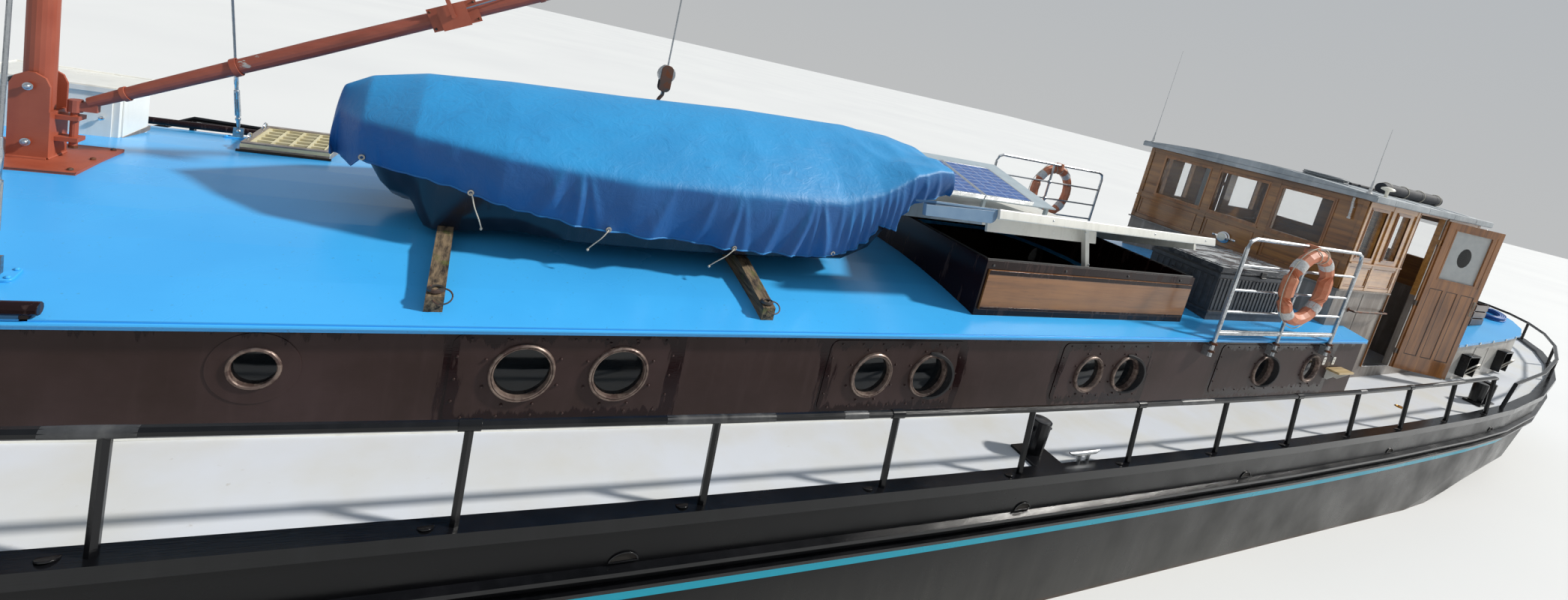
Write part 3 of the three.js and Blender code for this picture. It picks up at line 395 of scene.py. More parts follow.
def hull_paint():
    tree, shader, spot, made = new_finish("hull_enamel_black_white_turquoise", "0E0F12", 0.3,
        Specular_IOR_Level=0.2)
    way = put(tree, "SeparateXYZ", {0: spot}, "X")
    high = way.node.outputs["Z"]
    from_low = put(tree, "Math", {0: way, 1: SHEER["at"]}, operation="SUBTRACT")
    squared = put(tree, "Math", {0: from_low, 1: from_low}, operation="MULTIPLY")
    forward = put(tree, "Math", {0: from_low, 1: 0.0}, operation="GREATER_THAN")
    steep = put(tree, "MapRange", {"Value": forward, "To Min": SHEER["aft"], "To Max": SHEER["fore"]})
    edge = put(tree, "Math", {0: squared, 1: steep, 2: SHEER["low"]}, operation="MULTIPLY_ADD")
    rise = put(tree, "Math", {0: high, 1: edge}, operation="SUBTRACT")  # height over the sheer, in metres
    cloud = put(tree, "TexNoise", {"Vector": spot, "Scale": per_mm(500), "Detail": 5.0})
    grit = put(tree, "TexNoise", {"Vector": spot, "Scale": per_mm(45), "Detail": 6.0, "Roughness": 0.7})
    tall = put(tree, "Mapping", {"Vector": spot, "Scale": (1.0, 1.0, 0.07)})
    rain = put(tree, "TexNoise", {"Vector": tall, "Scale": per_mm(70), "Detail": 5.0})
    # Black topsides, with grey dust that gathers towards the waterline.
    dust = put(tree, "MapRange", {"Value": high, "From Min": 0.62, "From Max": 0.02, "To Max": 0.5})
    dust = put(tree, "Math", {0: dust, 1: rain}, operation="MULTIPLY")
    black = put(tree, "Mix", {0: dust, A: "08080A", B: "5A5852"}, MIXED, data_type="RGBA")
    # Turquoise stripe, 50 mm wide, under the lower strake.
    middle = put(tree, "Math", {0: rise, 1: 0.385}, operation="ADD")
    apart = put(tree, "Math", {0: middle}, operation="ABSOLUTE")
    stripe = put(tree, "MapRange", {"Value": apart, "From Min": 0.026, "From Max": 0.0235})
    sides = put(tree, "Mix", {0: stripe, A: black, B: "22AEC8"}, MIXED, data_type="RGBA")
    # Below the waterline: antifouling, with a green weed line along its top.
    wet = put(tree, "MapRange", {"Value": high, "From Min": 0.03, "From Max": 0.0})
    weed = put(tree, "MapRange", {"Value": grit, "From Min": 0.35, "From Max": 0.65})
    antifouling = put(tree, "Mix", {0: weed, A: "4A2520", B: "3A3A22"}, MIXED, data_type="RGBA")
    sides = put(tree, "Mix", {0: wet, A: sides, B: antifouling}, MIXED, data_type="RGBA")
    # Deck: white paint, yellowed in drifts, with fine dirt.
    yellow = put(tree, "MapRange", {"Value": cloud, "From Min": 0.4, "From Max": 0.7})
    white = put(tree, "Mix", {0: yellow, A: "CCD0D6", B: "C6C6C2"}, MIXED, data_type="RGBA")
    dirt = put(tree, "MapRange", {"Value": grit, "From Min": 0.66, "From Max": 0.76, "To Max": 0.5})
    white = put(tree, "Mix", {0: dirt, A: white, B: "9B8F7E"}, MIXED, data_type="RGBA")
    upward = put(tree, "SeparateXYZ", {0: spot.node.outputs["Normal"]}, "Z")
    flat = put(tree, "MapRange", {"Value": upward, "From Min": 0.75, "From Max": 0.8})
    over = put(tree, "MapRange", {"Value": rise, "From Min": -0.03, "From Max": -0.02})
    deck = put(tree, "Math", {0: flat, 1: over}, operation="MULTIPLY")
    feed(shader, {"Base Color": put(tree, "Mix", {0: deck, A: sides, B: white}, MIXED, data_type="RGBA")})
    sheen = put(tree, "MapRange", {"Value": cloud, "From Min": 0.3, "From Max": 0.7, "To Min": 0.18,
        "To Max": 0.42})
    dull = put(tree, "Math", {0: deck, 1: dust}, operation="MAXIMUM")
    sheen = put(tree, "Math", {0: dull, 1: 0.22, 2: sheen}, operation="MULTIPLY_ADD")
    waves = put(tree, "TexNoise", {"Vector": spot, "Scale": per_mm(260), "Detail": 1.0})
    relief = put(tree, "Math", {0: grit, 1: 0.12, 2: waves}, operation="MULTIPLY_ADD")
    feed(shader, {"Roughness": sheen, "Normal": put(tree, "Bump", {"Height": relief, "Strength": 0.35,
        "Distance": 0.006})})
    return made


hull_enamel = hull_paint()
print("sheer at the bow, middle and stern:", [round(sheer(x)) for x in (12000, 0, -12000)], "mm")

# %% [markdown]
# ## The den's brown sides
# The brown is a dull old coat. Where new plates were bolted over the windows, the painter went round
# them and along the roof's edge with fresh paint, which is still darker, redder and shiny. The
# mask is the distance to each plate's outline, pushed about by noise, so the brush edge is ragged.

# %% Plates over the den's portholes
PLATES = [(3030, 4135, 1137, 1599), (970, 2055, 1101, 1583), (-1110, -30, 1093, 1576),
    (-4180, -2120, 1088, 1572)]
PLATE_ROUND = 55


def brown_paint(name, with_patches):
    tree, shader, spot, made = new_finish(name, "2E2022", 0.4, Specular_IOR_Level=0.22)
    x = put(tree, "SeparateXYZ", {0: spot}, "X")
    z = x.node.outputs["Z"]
    cloud = put(tree, "TexNoise", {"Vector": spot, "Scale": per_mm(450), "Detail": 6.0, "Roughness": 0.6})
    tall = put(tree, "Mapping", {"Vector": spot, "Scale": (1.0, 1.0, 0.12)})
    rain = put(tree, "TexNoise", {"Vector": tall, "Scale": per_mm(55), "Detail": 4.0})
    faded = put(tree, "MapRange", {"Value": cloud, "From Min": 0.38, "From Max": 0.66})
    colour = put(tree, "Mix", {0: faded, A: "30221F", B: "3B2C2B"}, MIXED, data_type="RGBA")
    washed = put(tree, "MapRange", {"Value": rain, "From Min": 0.52, "From Max": 0.78, "To Max": 0.22})
    colour = put(tree, "Mix", {0: washed, A: colour, B: "4C3C3C"}, MIXED, data_type="RGBA")
    ragged = put(tree, "TexNoise", {"Vector": tall, "Scale": per_mm(70), "Detail": 5.0, "Roughness": 0.65})
    push = put(tree, "MapRange", {"Value": ragged, "From Min": 0.3, "From Max": 0.7, "To Min": -0.05,
        "To Max": 0.05})
    near = put(tree, "MapRange", {"Value": z, "From Min": 1.50, "From Max": 1.62, "To Min": 0.10,
        "To Max": 0.02})
    if with_patches:
        for x0, x1, z0, z1 in PLATES:
            beyond = []
            for way, low, high in ((x, x0, x1), (z, z0, z1)):
                off = put(tree, "Math", {0: way, 1: (low + high) / 2000}, operation="SUBTRACT")
                off = put(tree, "Math", {0: off}, operation="ABSOLUTE")
                beyond.append(put(tree, "Math", {0: off, 1: (high - low) / 2000}, operation="SUBTRACT"))
            rim = put(tree, "Math", {0: beyond[0], 1: beyond[1]}, operation="MAXIMUM")
            rim = put(tree, "Math", {0: rim}, operation="ABSOLUTE")
            near = put(tree, "Math", {0: near, 1: rim}, operation="MINIMUM")
    near = put(tree, "Math", {0: near, 1: push}, operation="ADD")
    fresh = put(tree, "MapRange", {"Value": near, "From Min": 0.045, "From Max": 0.03})
    colour = put(tree, "Mix", {0: fresh, A: colour, B: "1B0B0C"}, MIXED, data_type="RGBA")
    gloss = put(tree, "MapRange", {"Value": fresh, "To Min": 0.42, "To Max": 0.16})
    ridges = put(tree, "TexNoise", {"Vector": put(tree, "Mapping", {"Vector": spot,
        "Scale": (0.08, 1.0, 1.0)}), "Scale": per_mm(7), "Detail": 2.0})
    feed(shader, {"Base Color": colour, "Roughness": gloss, "Normal": put(tree, "Bump",
        {"Height": ridges, "Strength": 0.35, "Distance": 0.001})})
    return made


den_brown = brown_paint("brown_enamel_touched_up", True)
plain_brown = brown_paint("brown_enamel", False)
print("plates a side:", len(PLATES))

# %% [markdown]
# ## Wood, metal, glass and plastics
# Varnished teak shows long grain that runs with each board, darker pores and a thick clear coat.
# The coat is the Principled shader's own coat layer, which keeps the gloss apart from the wood's
# colour. Galvanised tube has a faint spangle of zinc crystals. Window glass is thin: a see-through
# shader with a trace of grey. The porthole panes and the doors' clear ovals are near-black glass
# instead: painted shade that stands for the dark room behind them. A near-black matte finish is
# painted shade in the mouths of the scuppers and hawse holes.


# %% Teak
def teak(name, light, dark, grain, coat=1.0):
    tree, shader, spot, made = new_finish(name, light, 0.35, Coat_Weight=coat, Coat_Roughness=0.12,
        Coat_IOR=1.5)
    length = put(tree, "Mapping", {"Vector": spot, "Scale": grain})
    figure = put(tree, "TexNoise", {"Vector": length, "Scale": per_mm(55), "Detail": 7.0, "Roughness": 0.62,
        "Distortion": 0.6})
    pores = put(tree, "TexNoise", {"Vector": length, "Scale": per_mm(7), "Detail": 2.0})
    blotch = put(tree, "TexNoise", {"Vector": spot, "Scale": per_mm(520), "Detail": 3.0})
    mixed = put(tree, "Math", {0: blotch, 1: 0.5, 2: figure}, operation="MULTIPLY_ADD")
    share = put(tree, "MapRange", {"Value": mixed, "From Min": 0.55, "From Max": 0.98})
    colour = put(tree, "Mix", {0: share, A: light, B: dark}, MIXED, data_type="RGBA")
    deep = put(tree, "MapRange", {"Value": pores, "From Min": 0.6, "From Max": 0.75, "To Max": 0.45})
    colour = put(tree, "Mix", {0: deep, A: colour, B: "2A1409"}, MIXED, data_type="RGBA")
    worn = put(tree, "MapRange", {"Value": blotch, "From Min": 0.35, "From Max": 0.65, "To Min": 0.28,
        "To Max": 0.5})
    feed(shader, {"Base Color": colour, "Roughness": worn, "Normal": put(tree, "Bump",
        {"Height": pores, "Strength": 0.2, "Distance": 0.0006})})
    return made


teak_across = teak("varnished_teak_boards_athwart", "A06A2E", "5A3413", (1.0, 0.05, 1.0))
teak_along = teak("varnished_teak_boards_fore_and_aft", "C08A45", "845423", (0.05, 1.0, 1.0))
teak_upright = teak("varnished_teak_posts_and_stiles", "A66B31", "663B16", (1.0, 1.0, 0.05))
board_varnish = teak("varnished_plywood_name_board", "93602F", "6B421F", (0.05, 1.0, 1.0), coat=0.5)
step_wood = teak("bare_pine_board", "C9B184", "A38A60", (0.05, 1.0, 1.0), coat=0.0)
# Very dark brown: painted shadow in the door panels' grooves; the crate is built in it too.
teak_shadow = teak("very_dark_wood_and_painted_groove_shadow", "3E2210", "251207", (1.0, 1.0, 0.05), coat=0.3)


def weathered_oak():
    tree, shader, spot, made = new_finish("weathered_oak_with_moss", "7D6A52", 0.8)
    length = put(tree, "Mapping", {"Vector": spot, "Scale": (1.0, 0.07, 1.0)})
    grain = put(tree, "TexNoise", {"Vector": length, "Scale": per_mm(22), "Detail": 8.0, "Roughness": 0.7})
    moss = put(tree, "TexNoise", {"Vector": spot, "Scale": per_mm(120), "Detail": 6.0})
    share = put(tree, "MapRange", {"Value": grain, "From Min": 0.4, "From Max": 0.62})
    colour = put(tree, "Mix", {0: share, A: "7A6850", B: "1E1610"}, MIXED, data_type="RGBA")
    green = put(tree, "MapRange", {"Value": moss, "From Min": 0.56, "From Max": 0.66, "To Max": 0.75})
    colour = put(tree, "Mix", {0: green, A: colour, B: "4E5522"}, MIXED, data_type="RGBA")
    feed(shader, {"Base Color": colour, "Normal": put(tree, "Bump",
        {"Height": grain, "Strength": 0.8, "Distance": 0.004})})
    return made


oak = weathered_oak()


# %% Metals
def metal(name, code, roughness, dull, grain_mm, tarnish=0.5, metallic=1.0):
    tree, shader, spot, made = new_finish(name, code, roughness, Metallic=metallic)
    crystals = put(tree, "TexVoronoi", {"Vector": spot, "Scale": per_mm(grain_mm)}, "Color")
    tone = put(tree, "SeparateXYZ", {0: crystals})
    cloud = put(tree, "TexNoise", {"Vector": spot, "Scale": per_mm(grain_mm * 6), "Detail": 5.0})
    mixed = put(tree, "Math", {0: tone, 1: 0.35, 2: cloud}, operation="MULTIPLY_ADD")
    share = put(tree, "MapRange", {"Value": mixed, "From Min": 0.5, "From Max": 0.9, "To Max": tarnish})
    colour = put(tree, "Mix", {0: share, A: code, B: dull}, MIXED, data_type="RGBA")
    gloss = put(tree, "MapRange", {"Value": mixed, "From Min": 0.4, "From Max": 0.9,
        "To Min": roughness * 0.8, "To Max": roughness * 1.4})
    feed(shader, {"Base Color": colour, "Roughness": gloss, "Normal": put(tree, "Bump",
        {"Height": cloud, "Strength": 0.15, "Distance": 0.001})})
    return made


zinc = metal("galvanised_steel_tube", "C3C7CA", 0.34, "7F858A", 14)
rigging_steel = metal("galvanised_wire_rope_steel", "A9ADB0", 0.38, "6A6E72", 6)
aluminium = metal("anodised_aluminium", "DADDE0", 0.3, "A9ADB2", 30)
porthole_metal = metal("dull_nickel_plated_brass", "B9B4AA", 0.35, "7D7466", 18)
ring_brown = metal("brass_ring_under_worn_brown_paint", "8A7A70", 0.34, "4A3834", 22, 0.9, 0.5)
bronze = metal("cast_manganese_bronze", "B8893F", 0.32, "5E5330", 30, 0.8)
rusty_iron = metal("cast_iron_with_rust", "4A4744", 0.55, "7A4426", 40, 0.8, 0.6)
chrome = metal("chrome_plated_brass", "E6E8EA", 0.12, "B8BBBE", 40, 0.2)


# %% Glass, rubber, plastics and cloths
def plain(name, code, roughness, speck="", size_mm=12, depth=0.0006, **sockets):
    tree, shader, spot, made = new_finish(name, code, roughness, **sockets)
    grain = put(tree, "TexNoise", {"Vector": spot, "Scale": per_mm(size_mm), "Detail": 4.0})
    share = put(tree, "MapRange", {"Value": grain, "From Min": 0.4, "From Max": 0.7})
    feed(shader, {
        "Base Color": put(tree, "Mix", {0: share, A: code, B: speck or code}, MIXED, data_type="RGBA"),
        "Normal": put(tree, "Bump", {"Height": grain, "Strength": 0.4, "Distance": depth}),
    })
    return made


black_rubber = plain("black_moulded_rubber", "131315", 0.55, "232326", 8)
# Near-black matte finish: painted shade set inside openings such as scuppers and hawse holes.
shade_in_openings = plain("painted_shade_in_openings", "17130F", 0.9, "241C15", 300)
box_plastic = plain("charcoal_moulded_polypropylene", "34383D", 0.5, "42474D", 40)
lamp_lens = plain("frosted_lamp_glass", "E8E4D4", 0.3, "F2EFE4", 20)


def window_glass(name, tint, clear):
    tree, shader, spot, made = new_finish(name, tint, 0.04, IOR=1.45, Alpha=clear)
    haze = put(tree, "TexNoise", {"Vector": spot, "Scale": per_mm(240), "Detail": 3.0})
    feed(shader, {"Roughness": put(tree, "MapRange", {"Value": haze, "From Min": 0.35, "From Max": 0.75,
        "To Min": 0.02, "To Max": 0.12})})
    return made


clear_glass = window_glass("window_glass_4_mm", "A9B4B8", 0.11)
# Near-opaque near-black glass: painted shade for the dark room behind portholes and door ovals.
dark_glass = window_glass("glass_painted_dark_as_the_shaded_room", "0B0F12", 0.92)
print("materials so far:", len(bpy.data.materials))

# %% [markdown]
# ## Special surfaces
# Four finishes need a pattern of their own: the boom, whose paint has flaked near its heel, the
# solar panels with their grid of cells, the tarpaulin, faded in patches and with painted light on
# its upward faces, and the storage box's lid, wet with dew.

# %% Boom, solar cells, tarpaulin, lifebuoy
def flaked_boom():
    tree, shader, spot, made = new_finish("red_oxide_flaked_on_spar", "A04A34", 0.5)
    x = put(tree, "SeparateXYZ", {0: spot}, "X")
    chips = put(tree, "TexNoise", {"Vector": put(tree, "Mapping", {"Vector": spot,
        "Scale": (0.35, 1.0, 1.0)}), "Scale": per_mm(70), "Detail": 8.0, "Roughness": 0.7})
    near = put(tree, "MapRange", {"Value": x, "From Min": 5.0, "From Max": 5.3, "To Max": 0.1})
    heel = put(tree, "MapRange", {"Value": x, "From Min": 5.72, "From Max": 5.5, "To Min": -0.2,
        "To Max": 0.0})
    wear = put(tree, "Math", {0: chips, 1: put(tree, "Math", {0: near, 1: heel}, operation="ADD")},
        operation="ADD")
    bare = put(tree, "MapRange", {"Value": wear, "From Min": 0.69, "From Max": 0.71})
    tone = put(tree, "MapRange", {"Value": chips, "From Min": 0.3, "From Max": 0.7})
    colour = put(tree, "Mix", {0: tone, A: "98503E", B: "84402F"}, MIXED, data_type="RGBA")
    colour = put(tree, "Mix", {0: bare, A: colour, B: "A9A19A"}, MIXED, data_type="RGBA")
    bump = put(tree, "Bump", {"Height": chips, "Strength": 0.3, "Distance": 0.002})
    bump = put(tree, "Bump", {"Height": bare, "Strength": 0.4, "Distance": 0.001, "Normal": bump})
    feed(shader, {"Base Color": colour, "Normal": bump})
    return made


boom_paint = flaked_boom()
CELL_X, CELL_Y = 155.5, 79.5  # one cell, mm: a full cell across, half a cell athwart


def cells():
    tree, shader, spot, made = new_finish("polycrystalline_solar_cells", "2C3C8E", 0.16)
    x = put(tree, "SeparateXYZ", {0: spot}, "X")
    y = x.node.outputs["Y"]
    up = put(tree, "SeparateXYZ", {0: spot.node.outputs["Normal"]}, "Z")
    # Glass lies only on top of the two panels, within these limits; the board they stand on is painted.
    glass = put(tree, "Math", {0: up, 1: 0.8}, operation="GREATER_THAN")
    for value, limit, way in ((x, -1.022, "GREATER_THAN"), (x, 0.318, "LESS_THAN"),
            (y, -0.826, "GREATER_THAN")):
        glass = put(tree, "Math", {0: glass, 1: put(tree, "Math", {0: value, 1: limit}, operation=way)},
            operation="MULTIPLY")
    fore_one = put(tree, "Math", {0: x, 1: -0.352}, operation="GREATER_THAN")
    start = put(tree, "MapRange", {"Value": fore_one, "To Min": -1.0, "To Max": -0.326})
    along = put(tree, "Math", {0: put(tree, "Math", {0: x, 1: start}, operation="SUBTRACT"), 1: CELL_X * MM},
        operation="DIVIDE")
    athwart = put(tree, "Math", {0: put(tree, "Math", {0: y, 1: -0.795}, operation="SUBTRACT"),
        1: CELL_Y * MM}, operation="DIVIDE")
    gaps = []
    for way, wide in ((along, 0.022), (athwart, 0.045)):
        part = put(tree, "Math", {0: way}, operation="FRACT")
        middle = put(tree, "Math", {0: put(tree, "Math", {0: part, 1: 0.5}, operation="SUBTRACT")},
            operation="ABSOLUTE")
        gaps.append(put(tree, "MapRange", {"Value": middle, "From Min": 0.5 - wide,
            "From Max": 0.5 - wide / 2}))
    grid = put(tree, "Math", {0: gaps[0], 1: gaps[1]}, operation="MAXIMUM")
    crystal = put(tree, "TexVoronoi", {"Vector": spot, "Scale": per_mm(22)}, "Color")
    tone = put(tree, "SeparateXYZ", {0: crystal})
    blue = put(tree, "Mix", {0: tone, A: "1F4588", B: "3565A8"}, MIXED, data_type="RGBA")
    cell = put(tree, "Mix", {0: grid, A: blue, B: "B2BFD6"}, MIXED, data_type="RGBA")
    dirt = put(tree, "TexNoise", {"Vector": spot, "Scale": per_mm(90), "Detail": 5.0})
    board = put(tree, "Mix", {0: dirt, A: "8E9CA4", B: "AEBAC0"}, MIXED, data_type="RGBA")
    feed(shader, {"Base Color": put(tree, "Mix", {0: glass, A: board, B: cell}, MIXED, data_type="RGBA"),
                  "Roughness": put(tree, "MapRange", {"Value": glass, "To Min": 0.5, "To Max": 0.14})})
    return made


solar_cells = cells()


def tarpaulin():
    tree, shader, spot, made = new_finish("coated_polyester_tarpaulin", "1B78C0", 0.5, Sheen_Weight=0.12,
        Sheen_Roughness=0.4)
    up = put(tree, "SeparateXYZ", {0: spot.node.outputs["Normal"]}, "Z")
    cloud = put(tree, "TexNoise", {"Vector": spot, "Scale": per_mm(420), "Detail": 6.0})
    crease = put(tree, "TexNoise", {"Vector": spot, "Scale": per_mm(120), "Detail": 7.0, "Roughness": 0.68,
        "Distortion": 1.6})
    # Patchy fading from the cloud noise, plus painted light: faces that point up are painted lighter blue and
    # the hanging skirt darker.
    fade_and_painted_top_light = put(tree, "Math", {0: cloud, 1: 0.6, 2: up}, operation="MULTIPLY_ADD")
    share = put(tree, "MapRange", {"Value": fade_and_painted_top_light, "From Min": 0.35, "From Max": 1.25})
    colour = put(tree, "Mix", {0: share, A: "08508C", B: "2390CC"}, MIXED, data_type="RGBA")
    grime = put(tree, "MapRange", {"Value": crease, "From Min": 0.56, "From Max": 0.78, "To Max": 0.3})
    colour = put(tree, "Mix", {0: grime, A: colour, B: "0C4476"}, MIXED, data_type="RGBA")
    # The base cloth has a thread each 0.5 mm; it is drawn at 5 mm so that it shows at all.
    thread = {"Vector": spot, "Scale": 1000 / 5 / (2 * pi) * 0.314, "Distortion": 0.4}
    warp, weft = (put(tree, "TexWave", thread, bands_direction=way) for way in "XY")
    weave = put(tree, "Math", {0: warp, 1: weft}, operation="MULTIPLY")
    relief = put(tree, "Math", {0: weave, 1: 0.04, 2: crease}, operation="MULTIPLY_ADD")
    feed(shader, {"Base Color": colour, "Normal": put(tree, "Bump",
        {"Height": relief, "Strength": 0.5, "Distance": 0.012})})
    return made


tarp_blue = tarpaulin()
buoy_shell = enamel("sun_bleached_orange_foam_shell", "BC6A48", 0.55, drift="CB8A6A", drift_mm=90,
    streak="A05A40", brush=0.3)
band_white = plain("reflective_white_tape", "C9C9C8", 0.45, "ABAAA8", 15)
rope_white = plain("braided_polyester_rope", "C9C3B4", 0.75, "8F8A7C", 5, 0.002)
rope_blue = plain("laid_blue_polypropylene_rope", "1C4F93", 0.55, "3D79BE", 6, 0.002)
cable_grey = plain("grey_rubber_cable", "6E7478", 0.5, "84898C", 14)
awning_dark = plain("dark_rolled_awning_cloth", "22252B", 0.75, "33373F", 12, 0.002)


def box_lid_finish():
    tree, shader, spot, made = new_finish("moulded_box_lid_wet_with_dew", "7B8084", 0.3)
    wet = put(tree, "TexNoise", {"Vector": put(tree, "Mapping", {"Vector": spot, "Scale": (0.35, 1.0, 1.0)}),
        "Scale": per_mm(130), "Detail": 6.0, "Roughness": 0.7, "Distortion": 1.0})
    dry = put(tree, "MapRange", {"Value": wet, "From Min": 0.46, "From Max": 0.54})
    up = put(tree, "SeparateXYZ", {0: spot.node.outputs["Normal"]}, "Z")
    top = put(tree, "MapRange", {"Value": up, "From Min": 0.5, "From Max": 0.8})
    top_colour = put(tree, "Mix", {0: dry, A: "6A6F75", B: "A9ABAC"}, MIXED, data_type="RGBA")
    feed(shader, {
        "Base Color": put(tree, "Mix", {0: top, A: "34383D", B: top_colour}, MIXED, data_type="RGBA"),
        "Roughness": put(tree, "MapRange", {"Value": dry, "To Min": 0.08, "To Max": 0.55}),
    })
    return made


box_lid = box_lid_finish()
print("finishes:", len(bpy.data.materials))

# %% [markdown]
# ## Dress the CAD solids
# Each solid keeps its mesh and gets its real finish. A small bevel on the flat-cut pieces rounds
# their edges; round tubes don't need one.

# %% Finishes for the CAD nodes
FINISHES = [
    (hull_enamel, 0, "hull"),
    (black_steel, 0, "rubbing_strake_upper rubbing_strake_lower gunwale bulwark_bow rudder skeg"),
    (black_steel, 0, "side_rail_port side_rail_stbd stern_rail"),
    (black_steel, 4, "bollard_aft_port bollard_aft_stbd bollard_fore"),
    (roof_blue, 0, "den_roof aft_cabin_roof"),
    (roof_blue, 5, "fore_hatch fore_hatch_lid"),
    (den_brown, 0, "den_walls"),
    (plain_brown, 4, "hatch_coaming"),
    (board_varnish, 3, "name_board"),
    (hatch_white, 4, "hatch_lid hatch_cover"),
    (solar_cells, 0, "solar_panels"),
    (flap_blue, 12, "lid_flap"),
    (red_oxide, 3, "tabernacle boom_winch"),
    (red_oxide, 0, "mast"),
    (boom_paint, 0, "boom"),
    (rigging_steel, 0, "boom_tackle topping_lift stays"),
    (locker_white, 8, "locker locker_lid"),
    (house_steel, 4, "skylight_frame"),
    (grating_cream, 5, "skylight_lid"),
    (oak, 5, "chock_fore chock_aft"),
    (tender_black, 0, "tender"),
    (zinc, 0, "guard_rail_port guard_rail_stbd"),
    (buoy_shell, 0, "lifebuoy_port lifebuoy_stbd"),
    (box_plastic, 8, "storage_box"),
    (box_lid, 10, "storage_box_lid"),
    (house_steel, 0, "wheelhouse_base"),
    (roof_grey, 5, "wheelhouse_roof"),
    (teak_across, 3, "wheelhouse_front wheelhouse_back steering_console"),
    (teak_along, 0, "wheelhouse_side_port wheelhouse_side_stbd"),
    (teak_upright, 3, "wheelhouse_door_port wheelhouse_door_stbd"),
    (teak_across, 0, "steering_wheel"),
    (cabin_grey, 0, "aft_cabin"),
    (rusty_iron, 6, "windlass"),
    (anchor_black, 6, "anchor_port anchor_stbd"),
    (bronze, 0, "propeller"),
]
dressed = set()
for finish, bevel, names in FINISHES:
    for name in names.split():
        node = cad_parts[name]
        node.data.materials.clear()
        node.data.materials.append(finish)
        if bevel:
            soften(node, bevel)
        dressed.add(name)
print("nodes with a finish:", len(dressed), "left:", sorted(set(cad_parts) - dressed))

# %% [markdown]
# ## Ropes and cables
# A rope is a fixed length of something flexible, so each one here is a curve whose length is known:
# the real one is cut to it. Curves with a round bevel are used because their centreline can be
# measured and their thickness is one number. All of them lie on, or hang from, the boat.

# %% Cord maker
ROOF_EDGE, ROOF_CAMBER, ROOF_HALF = 1650, 150, 1500  # the den's roof


def roof_z(y):
    return ROOF_EDGE + ROOF_CAMBER * (1 - (y / ROOF_HALF) ** 2)


def smooth_path(points, each=8):
    """A curve through the points (Catmull-Rom), each as many steps a span."""
    p = [np.array(q, float) for q in points]
    p = [2 * p[0] - p[1], *p, 2 * p[-1] - p[-2]]
    path = []
    for i in range(1, len(p) - 2):
        for t in np.linspace(0, 1, each, endpoint=False):
            a, b, c, d = p[i - 1 : i + 3]
            path.append(0.5 * (2 * b + (c - a) * t + (2 * a - 5 * b + 4 * c - d) * t**2
                + (3 * b - a - 3 * c + d) * t**3))
    return [*path, p[-2]]


def length_of(path):
    return sum(float(np.linalg.norm(np.subtract(b, a))) for a, b in zip(path, path[1:]))


def cord_piece(name, path, diameter, finish, **facts):
    curve = bpy.data.curves.new(name, "CURVE")
    curve.dimensions = "3D"
    curve.bevel_depth, curve.bevel_resolution, curve.use_fill_caps = diameter / 2 * MM, 2, True
    line = curve.splines.new("POLY")
    line.points.add(len(path) - 1)
    for point, p in zip(line.points, path):
        point.co = (*(c * MM for c in p), 1.0)
    curve.materials.append(finish)
    made = add_object(name, curve)
    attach(made, "vessel")
    print(name, round(length_of(path)), "mm long")
    return made


# %% [markdown]
# ### Ties of the tender's cover
# Brass eyelets along the cover's hem hold short lengths of cord, knotted at the end, that lace it
# down. They hang a hand's width. Their eyelets are set when the cover is made, further down.

# %% Ties
TIE_PLACES = [(4147, 608, 2097), (3418, 750, 2004), (2640, 782, 1963)]  # eyelets: x, off the middle, z
MORE_EYELETS = [(4691, 306, 2142), (1914, 769, 1977)]
TENDER_Y = 250


def tie_path(x, y, z, side, lean, low):
    hang = ((0, 0, 0), (0.15 * lean, 16, 12), (0.5 * lean, 20, 0.4 * low), (lean, 14, 0.75 * low),
        (1.3 * lean, 6, low))
    return smooth_path([(x - back, y + side * out, z - down) for back, out, down in hang], 5)


ties = []
for k, (x, off, z) in enumerate(TIE_PLACES):
    lean, low = ((60, 190), (-75, 120), (-110, 120))[k]
    for side, tag in ((1, "port"), (-1, "stbd")):
        y = TENDER_Y + side * (off + 3)
        knot = piece(f"tie_knot_{tag}_{k + 1}", [turned([(1, -9), (6, -6), (8, 0), (6, 6), (1, 9)],
            (x - 1.3 * lean, y + side * 6, z - low - 4), "z", 10)], rope_white)
        ties.append(cord_piece(f"cover_tie_{tag}_{k + 1}", tie_path(x, y, z, side, lean, low), 7, rope_white,
            far_end="knot", stiffness="limp", lay="hanging", with_pieces=[knot]))

# %% [markdown]
# ### Grab lines, the blue rope on the cabin and the cable on the wheelhouse
# A lifebuoy's grab line is seized at four bands and hangs slack between them. On the aft cabin lies
# a hank of blue rope, and on the wheelhouse a loose coil of grey cable: both are wound, so their
# whole length is in their turns, each turn a little off the last so that they never meet.

# %% Lifebuoy lines
BUOY = {"port": -2830, "stbd": -3030, "z": 2215, "r": 312, "tube": 58, "y": 1603}


def buoy_point(side, turn, out=0.0, proud=0.0):
    """A point on a lifebuoy: out from the ring's middle line in its plane, proud away from the boat."""
    a = radians(turn)
    s = 1 if side == "port" else -1
    return (BUOY[side] + (BUOY["r"] + out) * cos(a), s * (BUOY["y"] + proud),
        BUOY["z"] + (BUOY["r"] + out) * sin(a))


for side in ("port", "stbd"):
    line = []
    for k in range(4):
        start = 45 + 90 * k
        for t in np.linspace(0, 1, 12, endpoint=False):
            slack = sin(pi * t)
            line.append(buoy_point(side, start + 90 * t, 66 + 16 * slack, 14 * slack))
    line.append(buoy_point(side, 45 + 356, 66, 4))
    cord_piece("lifebuoy_line_" + side, line, 8, rope_white, far_end="object", stiffness="limp", lay="loose")

